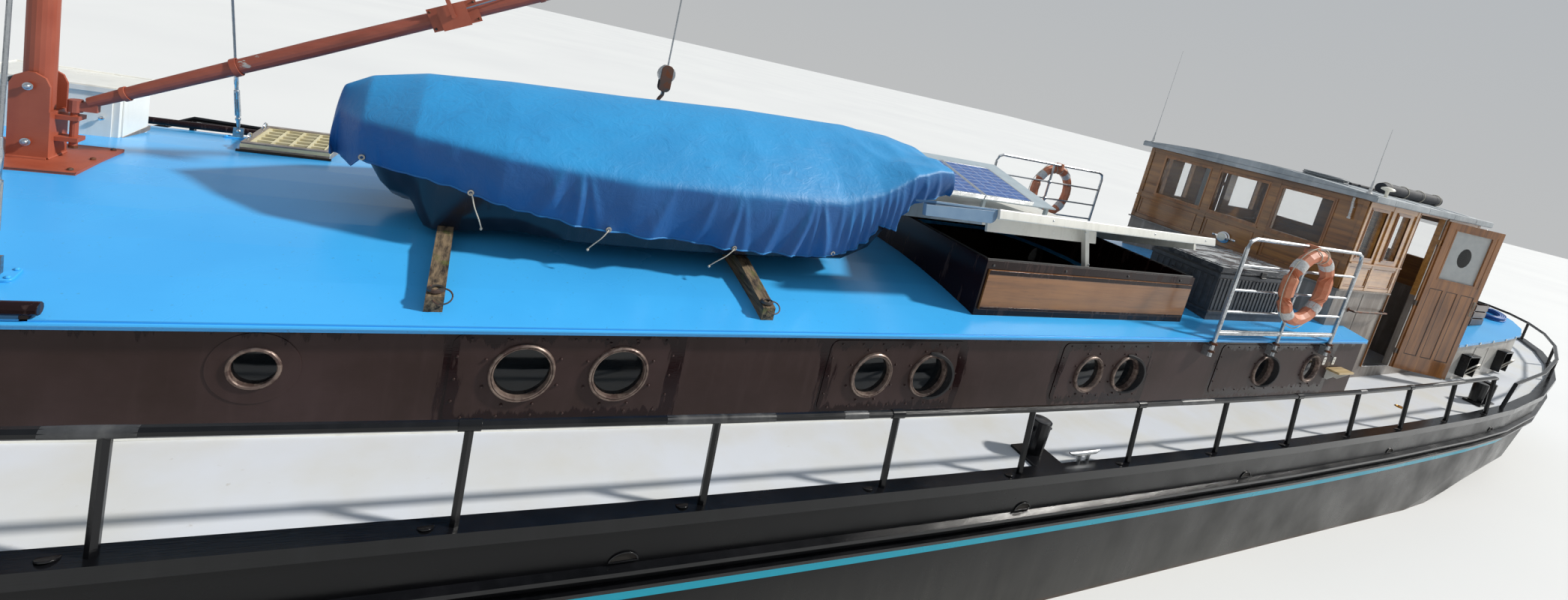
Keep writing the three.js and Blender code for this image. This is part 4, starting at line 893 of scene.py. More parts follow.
# %% Hank of rope and coil of cable
CABIN_EDGE, CABIN_CAMBER, CABIN_HALF = 1600, 110, 1510  # the aft cabin's roof
CABIN_FORE, CABIN_RISE = -7250, tan(radians(3.9))
HOUSE_EDGE, HOUSE_CAMBER, HOUSE_HALF = 3172, 70, 1330  # the wheelhouse roof


def cabin_roof_z(x, y):
    return CABIN_EDGE + CABIN_CAMBER * (1 - (y / CABIN_HALF) ** 2) + (CABIN_FORE - x) * CABIN_RISE


def wound(centre, a, b, turns, d, ground, tilt=0.0, layers=3, each=16):
    """A flat winding: turns lie beside each other in layers, a diameter apart, on the ground."""
    path = []
    count = turns * each
    for i in range(count + 1):
        turn = i / each
        layer, place = int(turn // (turns / layers)), (turn % (turns / layers))
        if layer >= layers:
            layer, place = layers - 1, turns / layers
        inward = place if layer % 2 == 0 else turns / layers - place
        w = 2 * pi * turn
        x, y = (a - inward * d * 1.12) * cos(w), (b - inward * d * 1.12) * sin(w)
        c, s = cos(tilt), sin(tilt)
        px, py = centre[0] + x * c - y * s, centre[1] + x * s + y * c
        path.append((px, py, ground(px, py) + d * (0.55 + 1.12 * layer)))
    return path


rope_path = wound((-9760, 1000), 300, 170, 12, 18, cabin_roof_z, 0.25, 3)
cord_piece("rope_hank_on_aft_cabin", rope_path, 18, rope_blue, far_end="bare", stiffness="medium",
    lay="coiled")


def house_roof_z(x, y):
    return HOUSE_EDGE + HOUSE_CAMBER * (1 - (y / HOUSE_HALF) ** 2)


cable_path = wound((-4850, 560), 260, 210, 9, 16, house_roof_z, 0.9, 3)
cord_piece("cable_coil_on_wheelhouse", cable_path, 16, cable_grey, far_end="bare", stiffness="medium",
    lay="coiled")

# %% [markdown]
# ## Portholes of the den
# Each window plate is 4 mm steel with rounded corners, bolted over an older opening. A porthole is a
# turned ring with a rolled lip, a pane set back in it, and eight bolts. In each of the three aft
# plates one of them stands open under a black rain hood.

# %% Window plates and portholes
DEN_FACE = 1470
PORTHOLES = [4866, 3810, 3331, 1703, 1235, -392, -838, -2911, -3804]
HOODED = [1235, -838, -2911]
LONE = 4866
PORTHOLE_UP = 335  # over the sheer
BOLT_CIRCLE, RING_BOLTS = 187, 8


def porthole_z(x):
    return sheer(x) + PORTHOLE_UP


plates_made, bolts_made, rings, panes, hoods = [], [], [], [], []
for x0, x1, z0, z1 in PLATES:
    inside = [x for x in PORTHOLES if x0 < x < x1]
    loops = [rounded(x1 - x0, z1 - z0, PLATE_ROUND, 5, ((x0 + x1) / 2, (z0 + z1) / 2))]
    loops += [circle(147, (x, porthole_z(x))) for x in inside]
    plates_made.append(plate(loops, 0.3, 4.5, on_side(DEN_FACE)))
    across = max(2, round((x1 - x0) / 165))
    for k in range(across):
        for z in (z0 + 26, z1 - 26):
            bolts_made.append(bolt((x0 + (x1 - x0) * (k + 0.5) / across, DEN_FACE + 4.5, z), "y", 7, 6))
    for k in range(3):
        for x in (x0 + 26, x1 - 26):
            bolts_made.append(bolt((x, DEN_FACE + 4.5, z0 + (z1 - z0) * (k + 1) / 4), "y", 7, 6))
for x in PORTHOLES:
    z = porthole_z(x)
    if x == LONE:
        # The forward porthole is a small one: a welded flange closes the old, wider hole around it.
        plates_made.append(plate([circle(163, (x, z), 40), circle(80, (x, z), 40)], 0.3, 3.4,
            on_side(DEN_FACE)))
        rings.append(turned([(80, -30), (80, 8), (84, 12), (92, 12), (96, 8), (97, 3.4), (90, 3.2),
            (90, -30)], (x, DEN_FACE, z), "y", 30, ring=True))
        panes.append(turned([(90, -22), (90, -16), (60, -15), (2, -14.5)], (x, DEN_FACE, z), "y", 28))
        continue
    lip = [(131, -42), (131, 14), (134, 20), (139, 21), (141, 15), (143, 22), (149, 23), (154, 18), (156, 5),
        (150, 4.7), (144, 3), (144, -42)]
    rings.append(turned(lip, (x, DEN_FACE, z), "y", 36, ring=True))
    panes.append(turned([(131, -20), (131, -14), (90, -13), (2, -12.5)], (x, DEN_FACE, z), "y", 32))
    for k in range(RING_BOLTS):
        a = 2 * pi * (k + 0.5) / RING_BOLTS
        bolts_made.append(bolt((x + BOLT_CIRCLE * cos(a), DEN_FACE + 4.5, z + BOLT_CIRCLE * sin(a)), "y", 8,
            9))
print("plates", len(plates_made), "rings", len(rings), "bolts", len(bolts_made))


# %% Rain hoods over the open portholes
def loft(loops):
    """A skin over loops of equally many points."""
    return np.array([p for loop in loops for p in loop], float), ring_faces(len(loops), len(loops[0]))


for x in HOODED:
    z, loops = porthole_z(x), []
    for k in range(19):
        share = k / 18
        a = radians(80 + 190 * share)
        deep = 6 + 64 * sin(pi * share) ** 0.6
        section = ((146, 5), (172, 5), (170, 5 + deep), (150, 5 + deep))
        loops.append([(x + r * cos(a), DEN_FACE + w, z + r * sin(a)) for r, w in section])
    hoods.append(loft(loops))
    hoods.append(plate([rounded(60, 44, 18, 3, (x - 172, z - 18))], 5, 44, on_side(DEN_FACE)))
piece("den_window_plates", both(plates_made), den_brown, bevel=1.2)
piece("den_bolts", both(bolts_made), plain_brown)
piece("porthole_rings", both(rings), ring_brown)
# The porthole panes are near-black: painted shade for the room behind them.
piece("porthole_panes", both(panes), dark_glass)
piece("porthole_hoods", both(hoods), black_rubber, bevel=3)

# %% [markdown]
# ## Edges of the den
# A half-round bar runs along the roof forward as a handrail, and weld beads close the den's foot.
# The long bottom bead is what catches the light along the white deck in the photograph.

# %% Roof strip and foot bead
strip = [tube([(x, 1493, 1690) for x in np.linspace(5500, 6950, 8)], 26, 10)]
strip += [block(x - 14, x + 14, 1478, 1500, 1640, 1690) for x in (5540, 5990, 6440, 6900)]
piece("den_roof_handrails", both(strip), plain_brown, bevel=3)


DECK_CAMBER, DECK_HALF = 60, 2140


def deck_z(x, y):
    return sheer(x) + DECK_CAMBER * (1 - abs(y) / DECK_HALF)


foot = [tube([(x, 1474, deck_z(x, 1474) + 4) for x in np.linspace(-4700, 6900, 60)], 12, 6)]
piece("den_foot_fillet", both(foot), locker_white)
edge = [tube([(x, 1506, roof_z(1500) - 16) for x in np.linspace(-4720, 6960, 24)], 9, 8)]
piece("den_roof_edge_bead", both(edge), roof_blue)
print("den edges done")

# %% [markdown]
# ## Hatch: board, lid and solar panels
# The port lid turns on the edge of a fixed cover at the centreline and stands on a prop. Its
# fittings are drawn flat, in the lid's own measures, and one function lays them on the slope; a
# second one does the same for the board that carries the solar panels. The name board stays
# blank: a varnished field between two painted strips, held by rusty bolts.

# %% The slopes of the lid and of the panel board
HATCH_FACE = 1280
LID = {"fore": 830, "aft": -1770, "z": 2160, "width": 1313, "thick": 36, "tilt": radians(14.4)}
RACK = {"y": -66, "z": 2278, "tilt": radians(12.4), "deep": 777, "thick": 38}
PANELS = ((-1022, -356), (-348, 318))  # from x to x


def on_lid(x, across, up):
    """A point of the lid: across from its hinge to port, up from its top face."""
    c, s = cos(LID["tilt"]), sin(LID["tilt"])
    return (x, across * c - up * s, LID["z"] + across * s + up * c)


def on_rack(x, across, up):
    """A point of the panel board: across from its port edge to starboard, up from its top face."""
    c, s = cos(RACK["tilt"]), sin(RACK["tilt"])
    return (x, RACK["y"] - across * c + up * s, RACK["z"] + across * s + up * c)


def laid(shapes, at):
    return [(np.array([at(*point) for point in points]), faces) for points, faces in shapes]


print("port edge of the lid at", [round(v) for v in on_lid(0, LID["width"], 0)])

# %% Name board and coaming
STRIPS = ((1742, 1762), (2012, 2043))  # from z to z
strips = [block(-1665, 755, HATCH_FACE + 14.3, HATCH_FACE + 17, z0, z1) for z0, z1 in STRIPS]
piece("name_board_strips", strips, plain_brown, bevel=1)
piece("coaming_bolts", both([bolt((x, HATCH_FACE, 2074), "y", 11, 9) for x in (725, -35, -787, -1500)]),
    worn_black)
seal = [tube([(x, 1257.5, 2111) for x in np.linspace(780, -1690, 20)], 10, 8)]
seal += [tube([(x, y, 2111) for y in np.linspace(30, 1240, 10)], 10, 8) for x in (767, -1677)]
piece("coaming_rubber_seal", seal, black_rubber)
piece("hatch_cover_edge", [tube([(x, -1303, 2126) for x in np.linspace(LID["aft"] + 5, LID["fore"] - 5, 20)],
    11, 10)], locker_white)

# %% Lid: rounded lip, beam under it, hinges and prop
section = rounded(24, 72, 11, 5, (LID["width"] + 12.4, -32))
lip = [plate([section], LID["aft"], LID["fore"], lambda u, v, w: on_lid(w, u, v))]
piece("hatch_lid_lip", lip, locker_white, body="lid", smooth=40)
beam = laid([block(-470, 735, 1108, 1132, -165, -LID["thick"] - 0.3)], on_lid)
piece("hatch_lid_beam", beam, locker_white, body="lid", bevel=3)
lid_leaves, cover_leaves, catches = [], [], []
for x in (-1500, -470, 560):
    lid_leaves += laid([block(x - 40, x + 40, 7, 64, 0.3, 3.5)], on_lid)
    cover_leaves += [block(x - 40, x + 40, -64, -7, LID["z"] + 0.3, LID["z"] + 3.2)]
    for dx in (-25, 25):
        lid_leaves += laid([bolt((x + dx, 48, 3.5), "z", 5, 3)], on_lid)
        cover_leaves += [bolt((x + dx, -48, LID["z"] + 3), "z", 5, 3)]
piece("hatch_lid_hinge_leaves", lid_leaves, zinc, body="lid", bevel=0.8)
piece("hatch_cover_hinge_leaves", cover_leaves, zinc, bevel=0.8)
for x in (290, -916, -1623):
    catches += laid([block(x - 14, x + 14, 1290, 1308, -62, -LID["thick"] - 0.3),
        bolt((x, LID["width"] + 23, -30), "y", 8, 6)], on_lid)
piece("hatch_lid_catches", catches, zinc, body="lid", bevel=2)
shoe = [block(-412, -356, 1156, 1204, 2056, 2092), bolt((-376, 1200, 2120), "y", 8, 6),
    bolt((-222, 1200, 2380), "y", 8, 6)]
piece("lid_prop_fittings", shoe, zinc, body="lid", bevel=3)

flap = laid([block(LID["fore"] + 0.5, 1390, 1100, LID["width"] + 2, -14, 1),
    block(1300, 1380, 1170, 1204, -100, -16)], on_lid)
corner = [(LID["fore"] + 0.5, -14), (1470, -30), (1470, -104), (900, -104)]
corner += [(900 - 70 * sin(a), -34 - 70 * cos(a)) for a in np.linspace(0.15, pi / 2, 7)]
flap.append(plate([corner], LID["width"] - 14, LID["width"] + 2, lambda u, v, w: on_lid(u, w, v)))
flap_piece = piece("lid_flap_board", flap, flap_blue, body="lid", bevel=2)
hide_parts("lid_flap")

# %% Solar panels: frames, cable
frames = []
for x0, x1 in PANELS:
    middle = ((x0 + x1) / 2, RACK["deep"] / 2)
    outer = rounded(x1 - x0, RACK["deep"], 5, 2, middle)
    inner = rounded(x1 - x0 - 40, RACK["deep"] - 40, 3, 2, middle)
    frames.append(plate([outer, inner], RACK["thick"] + 0.3, RACK["thick"] + 2.5, on_rack))
    frames += laid([block(x0 + 4, x1 - 4, across, across + 2.6, 1, RACK["thick"] + 1)
        for across in (-2.9, RACK["deep"] + 0.3)], on_rack)
    frames += laid([block(side, side + 2.4, 4, RACK["deep"] - 4, 1, RACK["thick"] + 1)
        for side in (x0 - 2.7, x1 + 0.3)], on_rack)
piece("solar_panel_frames", frames, aluminium, bevel=1.2)
lead = smooth_path([on_rack(-352, 600, -22), on_rack(-372, 780, -22), (-376, -966, 2400), (-376, -972, 2250),
    (-376, -985, 2162), (-380, -1060, 2154), (-420, -1200, 2152), (-440, -1290, 2150), (-445, -1322, 2135),
    (-445, -1326, 2000), (-445, -1300, 1830)])
piece("solar_lead", [tube(lead, 4.5, 8)], black_rubber)
print("hatch dressed")

# %% [markdown]
# ## Mast foot, boom and stays
# The mast turns down in a tabernacle of two cheek plates. Bolt heads, nuts and weld beads show how
# it is held together. The shrouds end in turnbuckles, which a real rigger turns to tighten them.

# %% Rig fittings
MAST_X, BOOM_X, BOOM_Z, SLOPE = 6165, 6030, 2090, radians(27.7)


def along_boom(d, up=0.0):
    """A point d millimetres up the boom from its pin, up above its middle line."""
    return (BOOM_X - d * cos(SLOPE) + up * sin(SLOPE), 0, BOOM_Z + d * sin(SLOPE) + up * cos(SLOPE))


heads = []
pin_ends = both([turned([(20, 0), (20, 3), (13, 4), (12, 12), (8, 16), (2, 17)], (MAST_X, 99, z), "y", 14)
    for z in (2186, 1900)])
piece("tabernacle_pin_ends", pin_ends, zinc)
heads += [bolt((x, y, 1812), "z", 13, 12) for x in (5950, 6395) for y in (-215, 0, 215)]
heads += [turned([(22, 0), (22, 12), (15, 20), (4, 21)], (BOOM_X, 0, 2060), "z", 8),
    turned([(20, 0), (20, -14), (6, -16)], (BOOM_X, 0, 1880), "z", 6)]
piece("tabernacle_bolts", heads, rusty_iron)
beads = []
for s in (1, -1):
    beads.append(tube([(x, s * 86, 1815) for x in np.linspace(6092, 6238, 6)], 7, 6))
    beads.append(plate([[(6105, 1812), (6150, 1812), (6105, 1880)]], 0, 8, lambda u, v, w: (u, w - 4, v)))
beads.append(tube([(6089, y, 1815) for y in np.linspace(-84, 84, 5)], 7, 6))
beads += [tube([(5917, y, 1809), (6430, y, 1809)], 5, 6) for y in (-248, 248)]
piece("tabernacle_weld_beads", beads, red_oxide)

turn_boom = Matrix.Translation(along_boom(0)) @ Matrix.Rotation(SLOPE, 4, "Y")
bands = [moved(turned([(47, -16), (52, -16), (52, 16), (47, 16)], (-d, 0, 0), "x", 24, ring=True), turn_boom)
    for d in (720, 2400)]
bands.append(moved(turned([(34, -12), (40, -12), (40, 12), (34, 12)], (-215, 0, 0), "x", 20, ring=True),
    turn_boom))
piece("boom_bands", bands, red_oxide, body="rigging_boom", bevel=2)


def wire_turns(first, last, r, count):
    path = []
    for i in range(count * 14 + 1):
        w = 2 * pi * i / 14
        path.append((r * cos(w), first + (last - first) * i / (count * 14), r * sin(w)))
    return path


seat = Matrix.Translation(along_boom(1876)) @ Matrix.Rotation(SLOPE, 4, "Y")
drum = [moved(tube(wire_turns(63, 148, 50.5, 9), 4.4, 6), seat)]
drum.append(seated(seat, [(66, 58.5), (66, 61.5), (48, 61.5), (48, 58.5)], "y", 24, ring=True))
run = [seat @ Vector((-45, 105, 24)), Vector(along_boom(2700, 62)), Vector(along_boom(3400, 66))]
drum.append(tube([tuple(p) for p in run], 4.4, 6))
piece("boom_hoist_wire", drum, rigging_steel, body="rigging_boom")
gear = [moved(turned([(9, 0), (13, 6), (13, 62), (9, 70), (2, 72)], (0, 192, 138), "y", 12), seat)]
gear += [moved(bolt((x, 58, z), "y", 8, 8), seat) for x in (-125, 125) for z in (-52, 52)]
piece("boom_winch_grip_and_bolts", gear, rusty_iron, body="rigging_boom")

TIP = along_boom(3450)
block_cheeks = []
for y in (23, -29):
    block_cheeks.append(plate([rounded(84, 190, 34, 5, (TIP[0] + 20, 2830))], y, y + 6, on_side(0)))
block_cheeks.append(turned([(38, -20), (34, -8), (34, 8), (38, 20)], (TIP[0] + 20, 0, 2862), "y", 24))
hook = [(TIP[0] + 20, 0, 2740), (TIP[0] + 20, 0, 2712), (TIP[0] + 42, 0, 2672), (TIP[0] + 40, 0, 2630),
    (TIP[0] + 12, 0, 2608), (TIP[0] - 20, 0, 2622), (TIP[0] - 28, 0, 2652)]
hook = smooth_path(hook, 5)
block_cheeks.append(tube(hook, [13] * 20 + [10, 9, 8, 7, 6, 5, 4, 3, 3, 2, 2][: len(hook) - 20], 10))
piece("boom_hook_block", block_cheeks, rusty_iron, body="rigging_boom", bevel=2)

# %% Turnbuckles and shroud feet
MAST_HEAD = 9000
SHROUD_FEET = {"port": 5745, "stbd": 5660}
SHROUD_Y, HOUND = 1240, 62  # off the middle: at the foot, at the mast
for side, s in (("port", 1), ("stbd", -1)):
    foot_x = SHROUD_FEET[side]
    low = Vector((foot_x, s * SHROUD_Y, roof_z(SHROUD_Y) + 60))
    d = hypot(foot_x - MAST_X, SHROUD_Y)
    high = Vector((MAST_X + (foot_x - MAST_X) * HOUND / d, s * SHROUD_Y * HOUND / d, MAST_HEAD - 170))
    way = (high - low).normalized()
    tilt = Matrix.Translation(low) @ way.to_track_quat("Z", "Y").to_matrix().to_4x4()
    parts = [seated(tilt, [(10, 30), (12, 60), (12, 78), (17, 80), (17, 96), (11, 98), (11, 120)], "z", 10)]
    parts += [moved(block(-17, -10, -7, 7, 112, 300), tilt), moved(block(10, 17, -7, 7, 112, 300), tilt)]
    parts += [seated(tilt, [(9, 120), (9, 170)], "z", 8), seated(tilt, [(9, 240), (9, 296)], "z", 8)]
    parts += [seated(tilt, [(17, 292), (17, 306), (12, 310), (12, 350), (14, 354), (14, 400), (10, 430),
        (9, 470)], "z", 10)]
    parts += [bolt((foot_x, s * SHROUD_Y + 9 * k, roof_z(SHROUD_Y) + 55), "y", 13, 9, k) for k in (1, -1)]
    piece("turnbuckle_" + side, parts, zinc, bevel=1)
    outline = rounded(150, 90, 20, 3, (foot_x, s * SHROUD_Y))
    foot = [plate([outline], 0, 12, lambda u, v, w: (u, v, roof_z(v) + w - 2))]
    foot += [bolt((x, s * y, roof_z(y) + 9), "z", 10, 9) for x in (foot_x - 58, foot_x + 58)
        for y in (1212, 1268)]
    piece("shroud_foot_" + side, foot, roof_blue, bevel=3)
print("rig dressed")

# %% [markdown]
# ## Locker and skylight
# The locker is a small painted cupboard: a door with a shadow gap, two hinges and a knob. The
# skylight's grating gets a raised margin and two lifting hoops.

# %% Locker and skylight fittings
door = [plate([rounded(560, 330, 8, 2, (6390, 1880))], 0.3, 9, lambda u, v, w: (u, -620 + w, v))]
door += [plate([rounded(330, 330, 8, 2, (-820, 1880))], 0.3, 9, lambda u, v, w: (6080 - w, u, v))]
piece("locker_panels", door, locker_white, bevel=2)
knob = [turned([(5, 0), (5, 10), (13, 14), (15, 20), (11, 27), (3, 28)], (6150, -611, 1890), "y", 14)]
hinges = [turned([(6, -28), (6, 28)], (6672, -606, z), "z", 8) for z in (1790, 1970)]
piece("locker_knob_and_hinges", knob + hinges, chrome)
skirting = [block(6074, 6706, -616, -608, 1742, 1772), block(6066, 6074, -1020, -612, 1742, 1772)]
piece("locker_skirting", skirting, house_steel, bevel=2)
lip = [block(6066, 6714, -606.5, -600, 2046, 2076), block(6059, 6066, -1034, -600, 2046, 2076)]
lip.append(tube([(x, y, 2080) for x, y in ((6070, -610), (6710, -610), (6710, -1030), (6070, -1030))], 6, 8,
    True))
piece("locker_lid_lip", lip, locker_white, body="locker_top")

SKYLIGHT_TOP = 1824
margin = [plate([rounded(490, 550, 10, 3, (5255, -915)), rounded(428, 470, 8, 3, (5250, -915))], 0.3, 9,
    facing_up(SKYLIGHT_TOP))]
piece("skylight_margin", margin, house_steel, body="skylight_top", bevel=2)
HOOP = [(-34, 1830), (-34, 1858), (0, 1872), (34, 1858), (34, 1830)]
hoops = [tube(smooth_path([(5478, y + d, z) for d, z in HOOP], 4), 6, 8) for y in (-1090, -740)]
piece("skylight_hoops", hoops, chrome, body="skylight_top")
flashing = [tube([(x, -y, roof_z(y) + 6) for x in (4996, 5514)], 10, 6) for y in (1204, 626)]
piece("skylight_flashing", flashing, black_steel)
print("locker and skylight dressed")

# %% [markdown]
# ## The tender's hull
# Under the cover lies a small moulded boat with a full, flat-bottomed bow. Its CAD solid is plain, so
# its shell is lofted here: one row of half sections, each with a keel, a hard bilge and a rail that
# stays under the cloth. A loft was chosen over box modelling because its rows are a boat's own lines.

# %% Tender hull
TENDER_LINES = [  # x, half breadth at the rail, bilge off the middle, bilge height, keel height
    (4812, 60, 26, 2215, 2200), (4740, 170, 90, 2140, 2122), (4680, 250, 130, 2080, 2050),
    (4640, 295, 165, 2030, 1985), (4605, 325, 195, 1985, 1926), (4551, 368, 240, 1950, 1868),
    (4490, 414, 280, 1950, 1842), (4445, 448, 316, 1940, 1834), (4415, 462, 360, 1912, 1832),
    (4385, 474, 405, 1866, 1830), (4350, 488, 440, 1824, 1828), (4300, 506, 460, 1809, 1828),
    (4170, 552, 474, 1816, 1828), (4030, 602, 480, 1838, 1830), (3900, 630, 500, 1856, 1832),
    (3720, 656, 580, 1862, 1836), (3560, 678, 640, 1862, 1840), (3000, 722, 676, 1868, 1850),
    (2400, 728, 680, 1876, 1856), (1750, 706, 646, 1892, 1862), (1520, 690, 590, 1972, 1915),
    (1320, 650, 500, 2160, 2100), (1120, 606, 430, 2310, 2270), (930, 560, 390, 2390, 2360),
]
lines = []
for x, half, off, bilge, keel in TENDER_LINES:
    rail = float(np.interp(x, [915, 1334, 1600, 2500, 4850], [2560, 2500, 2370, 2285, 2296]))
    side = [(0.04 * off, keel), (0.5 * off, (keel + bilge) / 2 + 4), (off - 22, bilge), (off, bilge + 16),
        (off + 0.45 * (half - off), bilge + 0.28 * (rail - bilge)), (half - 3, rail - 70), (half, rail)]
    lines.append([(x, TENDER_Y + y, z) for y, z in side] + [(x, TENDER_Y - y, z) for y, z in side[::-1]])
keel_plank = block(1640, 4420, TENDER_Y - 22, TENDER_Y + 22, 1822, 1866)
tender_hull = piece("tender_hull", [loft(lines), keel_plank], tender_black, bevel=3)
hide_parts("tender")
print("tender hull sections:", len(lines))

# %% [markdown]
# ## The tender's cover
# The cover is one sheet of coated cloth over a ridge, and it hangs over the boat's rail in a skirt.
# Cloth simulation could drape it, but the folds in the photograph are set by lacing, which pulls
# the hem in at a few points and leaves pleats between them. So the sheet is built by rule: a smooth
# top that sags a little between ridge and rail, then a skirt pushed in and out by a sharp-creased
# noise that grows towards the hem, and closer pleats where the cloth is gathered at the aft end.

# %% Cover surface
STATIONS = [  # x, half breadth, rail, ridge
    (4850, 56, 2330, 2470), (4720, 276, 2336, 2548), (4450, 496, 2350, 2612), (4000, 666, 2330, 2648),
    (3300, 766, 2304, 2684), (2500, 786, 2322, 2738), (1900, 772, 2338, 2756), (1600, 742, 2430, 2763),
    (1334, 706, 2580, 2748), (1100, 662, 2640, 2722), (960, 640, 2640, 2700),
]
HEM = [
    (4850, 2072), (4750, 2058), (4700, 2128), (4612, 2112), (4364, 2118), (4147, 2086), (3922, 2046),
    (3565, 1998), (3418, 1993), (3005, 1968), (2640, 1951), (2166, 1938), (1914, 1964), (1786, 2000),
    (1633, 2100), (1580, 2188), (1520, 2196), (1450, 2172), (1405, 2158), (1378, 2270), (1330, 2330),
    (1200, 2400), (960, 2450),
]
PLEATS = [  # x at the rail, x at the hem, half width at the hem, depth
    (4700, 4660, 60, 34), (4610, 4540, 70, 20), (4250, 4300, 120, 18), (3700, 3790, 90, 40),
    (3610, 3600, 80, 62), (3570, 3480, 70, 30), (3080, 3180, 110, 34), (2820, 2900, 70, 40),
    (2660, 2700, 60, 56), (2640, 2590, 60, 40), (2350, 2440, 80, 40), (2140, 2240, 70, 66),
    (2120, 2110, 60, 40), (2080, 1990, 70, 66), (1930, 1900, 40, 46), (1850, 1830, 36, 58),
    (1770, 1745, 34, 62), (1690, 1668, 30, 60), (1620, 1600, 26, 56), (1560, 1540, 26, 56),
    (1500, 1478, 24, 50), (1440, 1422, 22, 44), (1360, 1340, 30, 40), (1240, 1210, 40, 36),
    (1120, 1090, 50, 30),
]


COVER_FORE, COVER_AFT = 4850, 960
COLUMNS, TOP_SHARE = 65, 0.58  # points across the cover, and the part of them on its top


def crease(x, y, size, seed=0.0):
    """Noise with sharp valleys, like cloth folds: 0 in a valley, 1 on a crest."""
    return 1 - abs(2 * noise.noise(Vector((x / size, y / size, seed))))


def at_station(x, column):
    return float(np.interp(x, [s[0] for s in STATIONS][::-1], [s[column] for s in STATIONS][::-1]))


def pleated(x, t):
    """How far the skirt stands out at t, 0 at the rail and 1 at the hem: folds fan out downwards."""
    out = 0.0
    for top, low, wide, deep in PLEATS:
        away = abs(x - (top + (low - top) * t)) / (wide * t + 10)
        out = max(out, deep * t**0.8 * max(0.0, 1 - away))
    return out


def cover_row(x, drop, end):
    """One row across the cover at x; drop pulls a row down over an end of the boat."""
    half, rail, ridge = (at_station(x, column) for column in (1, 2, 3))
    hem = float(np.interp(x, [h[0] for h in HEM][::-1], [h[1] for h in HEM][::-1]))
    aft = float(np.clip((1800 - x) / 700, 0, 1))
    row = []
    for v in np.linspace(-1, 1, COLUMNS):
        s, a = (1 if v >= 0 else -1), abs(v)
        if a < TOP_SHARE:  # the top: from the ridge down to the rail, with a sag
            t = a / TOP_SHARE
            y, z = half * t**0.96, ridge + (rail - ridge) * t**1.7
            z -= 26 * sin(pi * t) * (1 - aft)
            z += 7 * (crease(x, y * s, 420, 3.1) - 0.7) * sin(pi * min(1, t * 1.1))
            z += 40 * aft * (crease(0.45 * x + 0.9 * y * s, 0.5 * x, 210, 7.7) - 0.62) * sin(pi * min(1,
                0.2 + 0.75 * t))
        else:  # the skirt: down from the rail to the hem
            t = (a - TOP_SHARE) / (1 - TOP_SHARE)
            loose = crease(x + 60 * t, 900 * s, 330, 0.4) - 0.6
            out = 34 * t * loose + pleated(x if s > 0 else x + 37, t) + 12 * sin(pi * t) - 40 * t * t
            held = max(0.0, 1 - min(abs(x - place[0]) for place in TIE_PLACES + MORE_EYELETS) / 90) * t
            out = out * (1 - held) - 3 * held
            y, z = half + out * (1 - drop), rail + (hem - rail) * t
            z += 10 * t * (crease(x, 40 * s, 90, 2.2) - 0.6)
        z -= drop * (z - hem)
        row.append((x + end * (24 * sin(pi * min(drop, 1)) + 18 * drop * crease(900, y * s, 170, 2.0)),
            TENDER_Y + s * y, z))
    return row


rows = [cover_row(COVER_FORE, d, 1) for d in np.linspace(1, 0.12, 8)]
rows += [cover_row(float(x), 0, 0) for x in np.linspace(COVER_FORE, COVER_AFT, 235)]
rows += [cover_row(COVER_AFT, d, -1) for d in np.linspace(0.12, 1, 8)]
points = [p for row in rows for p in row]
wide = len(rows[0])
across = max(float(np.linalg.norm(np.diff(np.array(row), axis=0), axis=1).sum()) for row in rows) / 1000
cover_mesh = bpy.data.meshes.new("tender_cover_sheet")
cover_mesh.from_pydata([tuple(c * MM for c in p) for p in points], [], [
    (i * wide + k, i * wide + k + 1, (i + 1) * wide + k + 1, (i + 1) * wide + k) for i in range(len(rows) - 1)
    for k in range(wide - 1)])
work = bmesh.new()
work.from_mesh(cover_mesh)
bmesh.ops.remove_doubles(work, verts=work.verts, dist=0.002)
bmesh.ops.dissolve_degenerate(work, edges=work.edges, dist=0.0005)
bmesh.ops.recalc_face_normals(work, faces=work.faces)
work.to_mesh(cover_mesh)
work.free()
cover_mesh.shade_smooth()
cover_mesh.materials.append(tarp_blue)
cover = add_object("tender_cover_sheet", cover_mesh)
fine = cover.modifiers.new("finer cloth", "SUBSURF")
fine.levels = fine.render_levels = 1
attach(cover, "vessel")
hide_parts("tender_cover")

# %% Hem, eyelets and the declared size
hem_port = [row[-1] for row in rows[10:-8]]
hem_stbd = [row[0] for row in rows[10:-8]]
hem_rope = [tube([(x, y, z) for x, y, z in line], 5, 6) for line in (hem_port, hem_stbd)]
hem = piece("tender_cover_hem", hem_rope, tarp_blue)
eyelets = []
for x, off, z in TIE_PLACES + MORE_EYELETS:
    for s in (1, -1):
        eyelets.append(turned([(8, -3), (16, -3), (17, 0), (16, 3), (8, 3)], (x, TENDER_Y + s * off, z), "y",
            18, ring=True))
eyelet_piece = piece("tender_cover_eyelets", eyelets, porthole_metal)

# %% [markdown]
# ## Wheelhouse joinery
# A barge's wheelhouse is frame-and-panel work: upright posts and level rails stand proud, and thin
# panels sit back between them, so that the wood can swell without splitting. The CAD walls are the
# panels, and the frames are laid on here. The windows get a bead all round and a pane of 4 mm glass.

# %% Frames, beads and glass
FORE, AFT, HALF = -4330, -7250, 1250
FRONT_LIGHTS = [(-1000, -400), (-270, 290), (440, 950)]
BACK_LIGHTS = [(-1050, -400), (400, 1050)]
SIDE_LIGHTS = [(-4770, -4425), (-5320, -5045), (-7100, -6420)]


def frame_round(u0, u1, v0, v1, wide, w0, w1, at, r=6):
    mid, w, h = ((u0 + u1) / 2, (v0 + v1) / 2), u1 - u0, v1 - v0
    return plate([rounded(w, h, r, 2, mid), rounded(w - 2 * wide, h - 2 * wide, r, 2, mid)], w0, w1, at)


def facing_stern(x):
    return lambda u, v, w: (x - w, u, v)


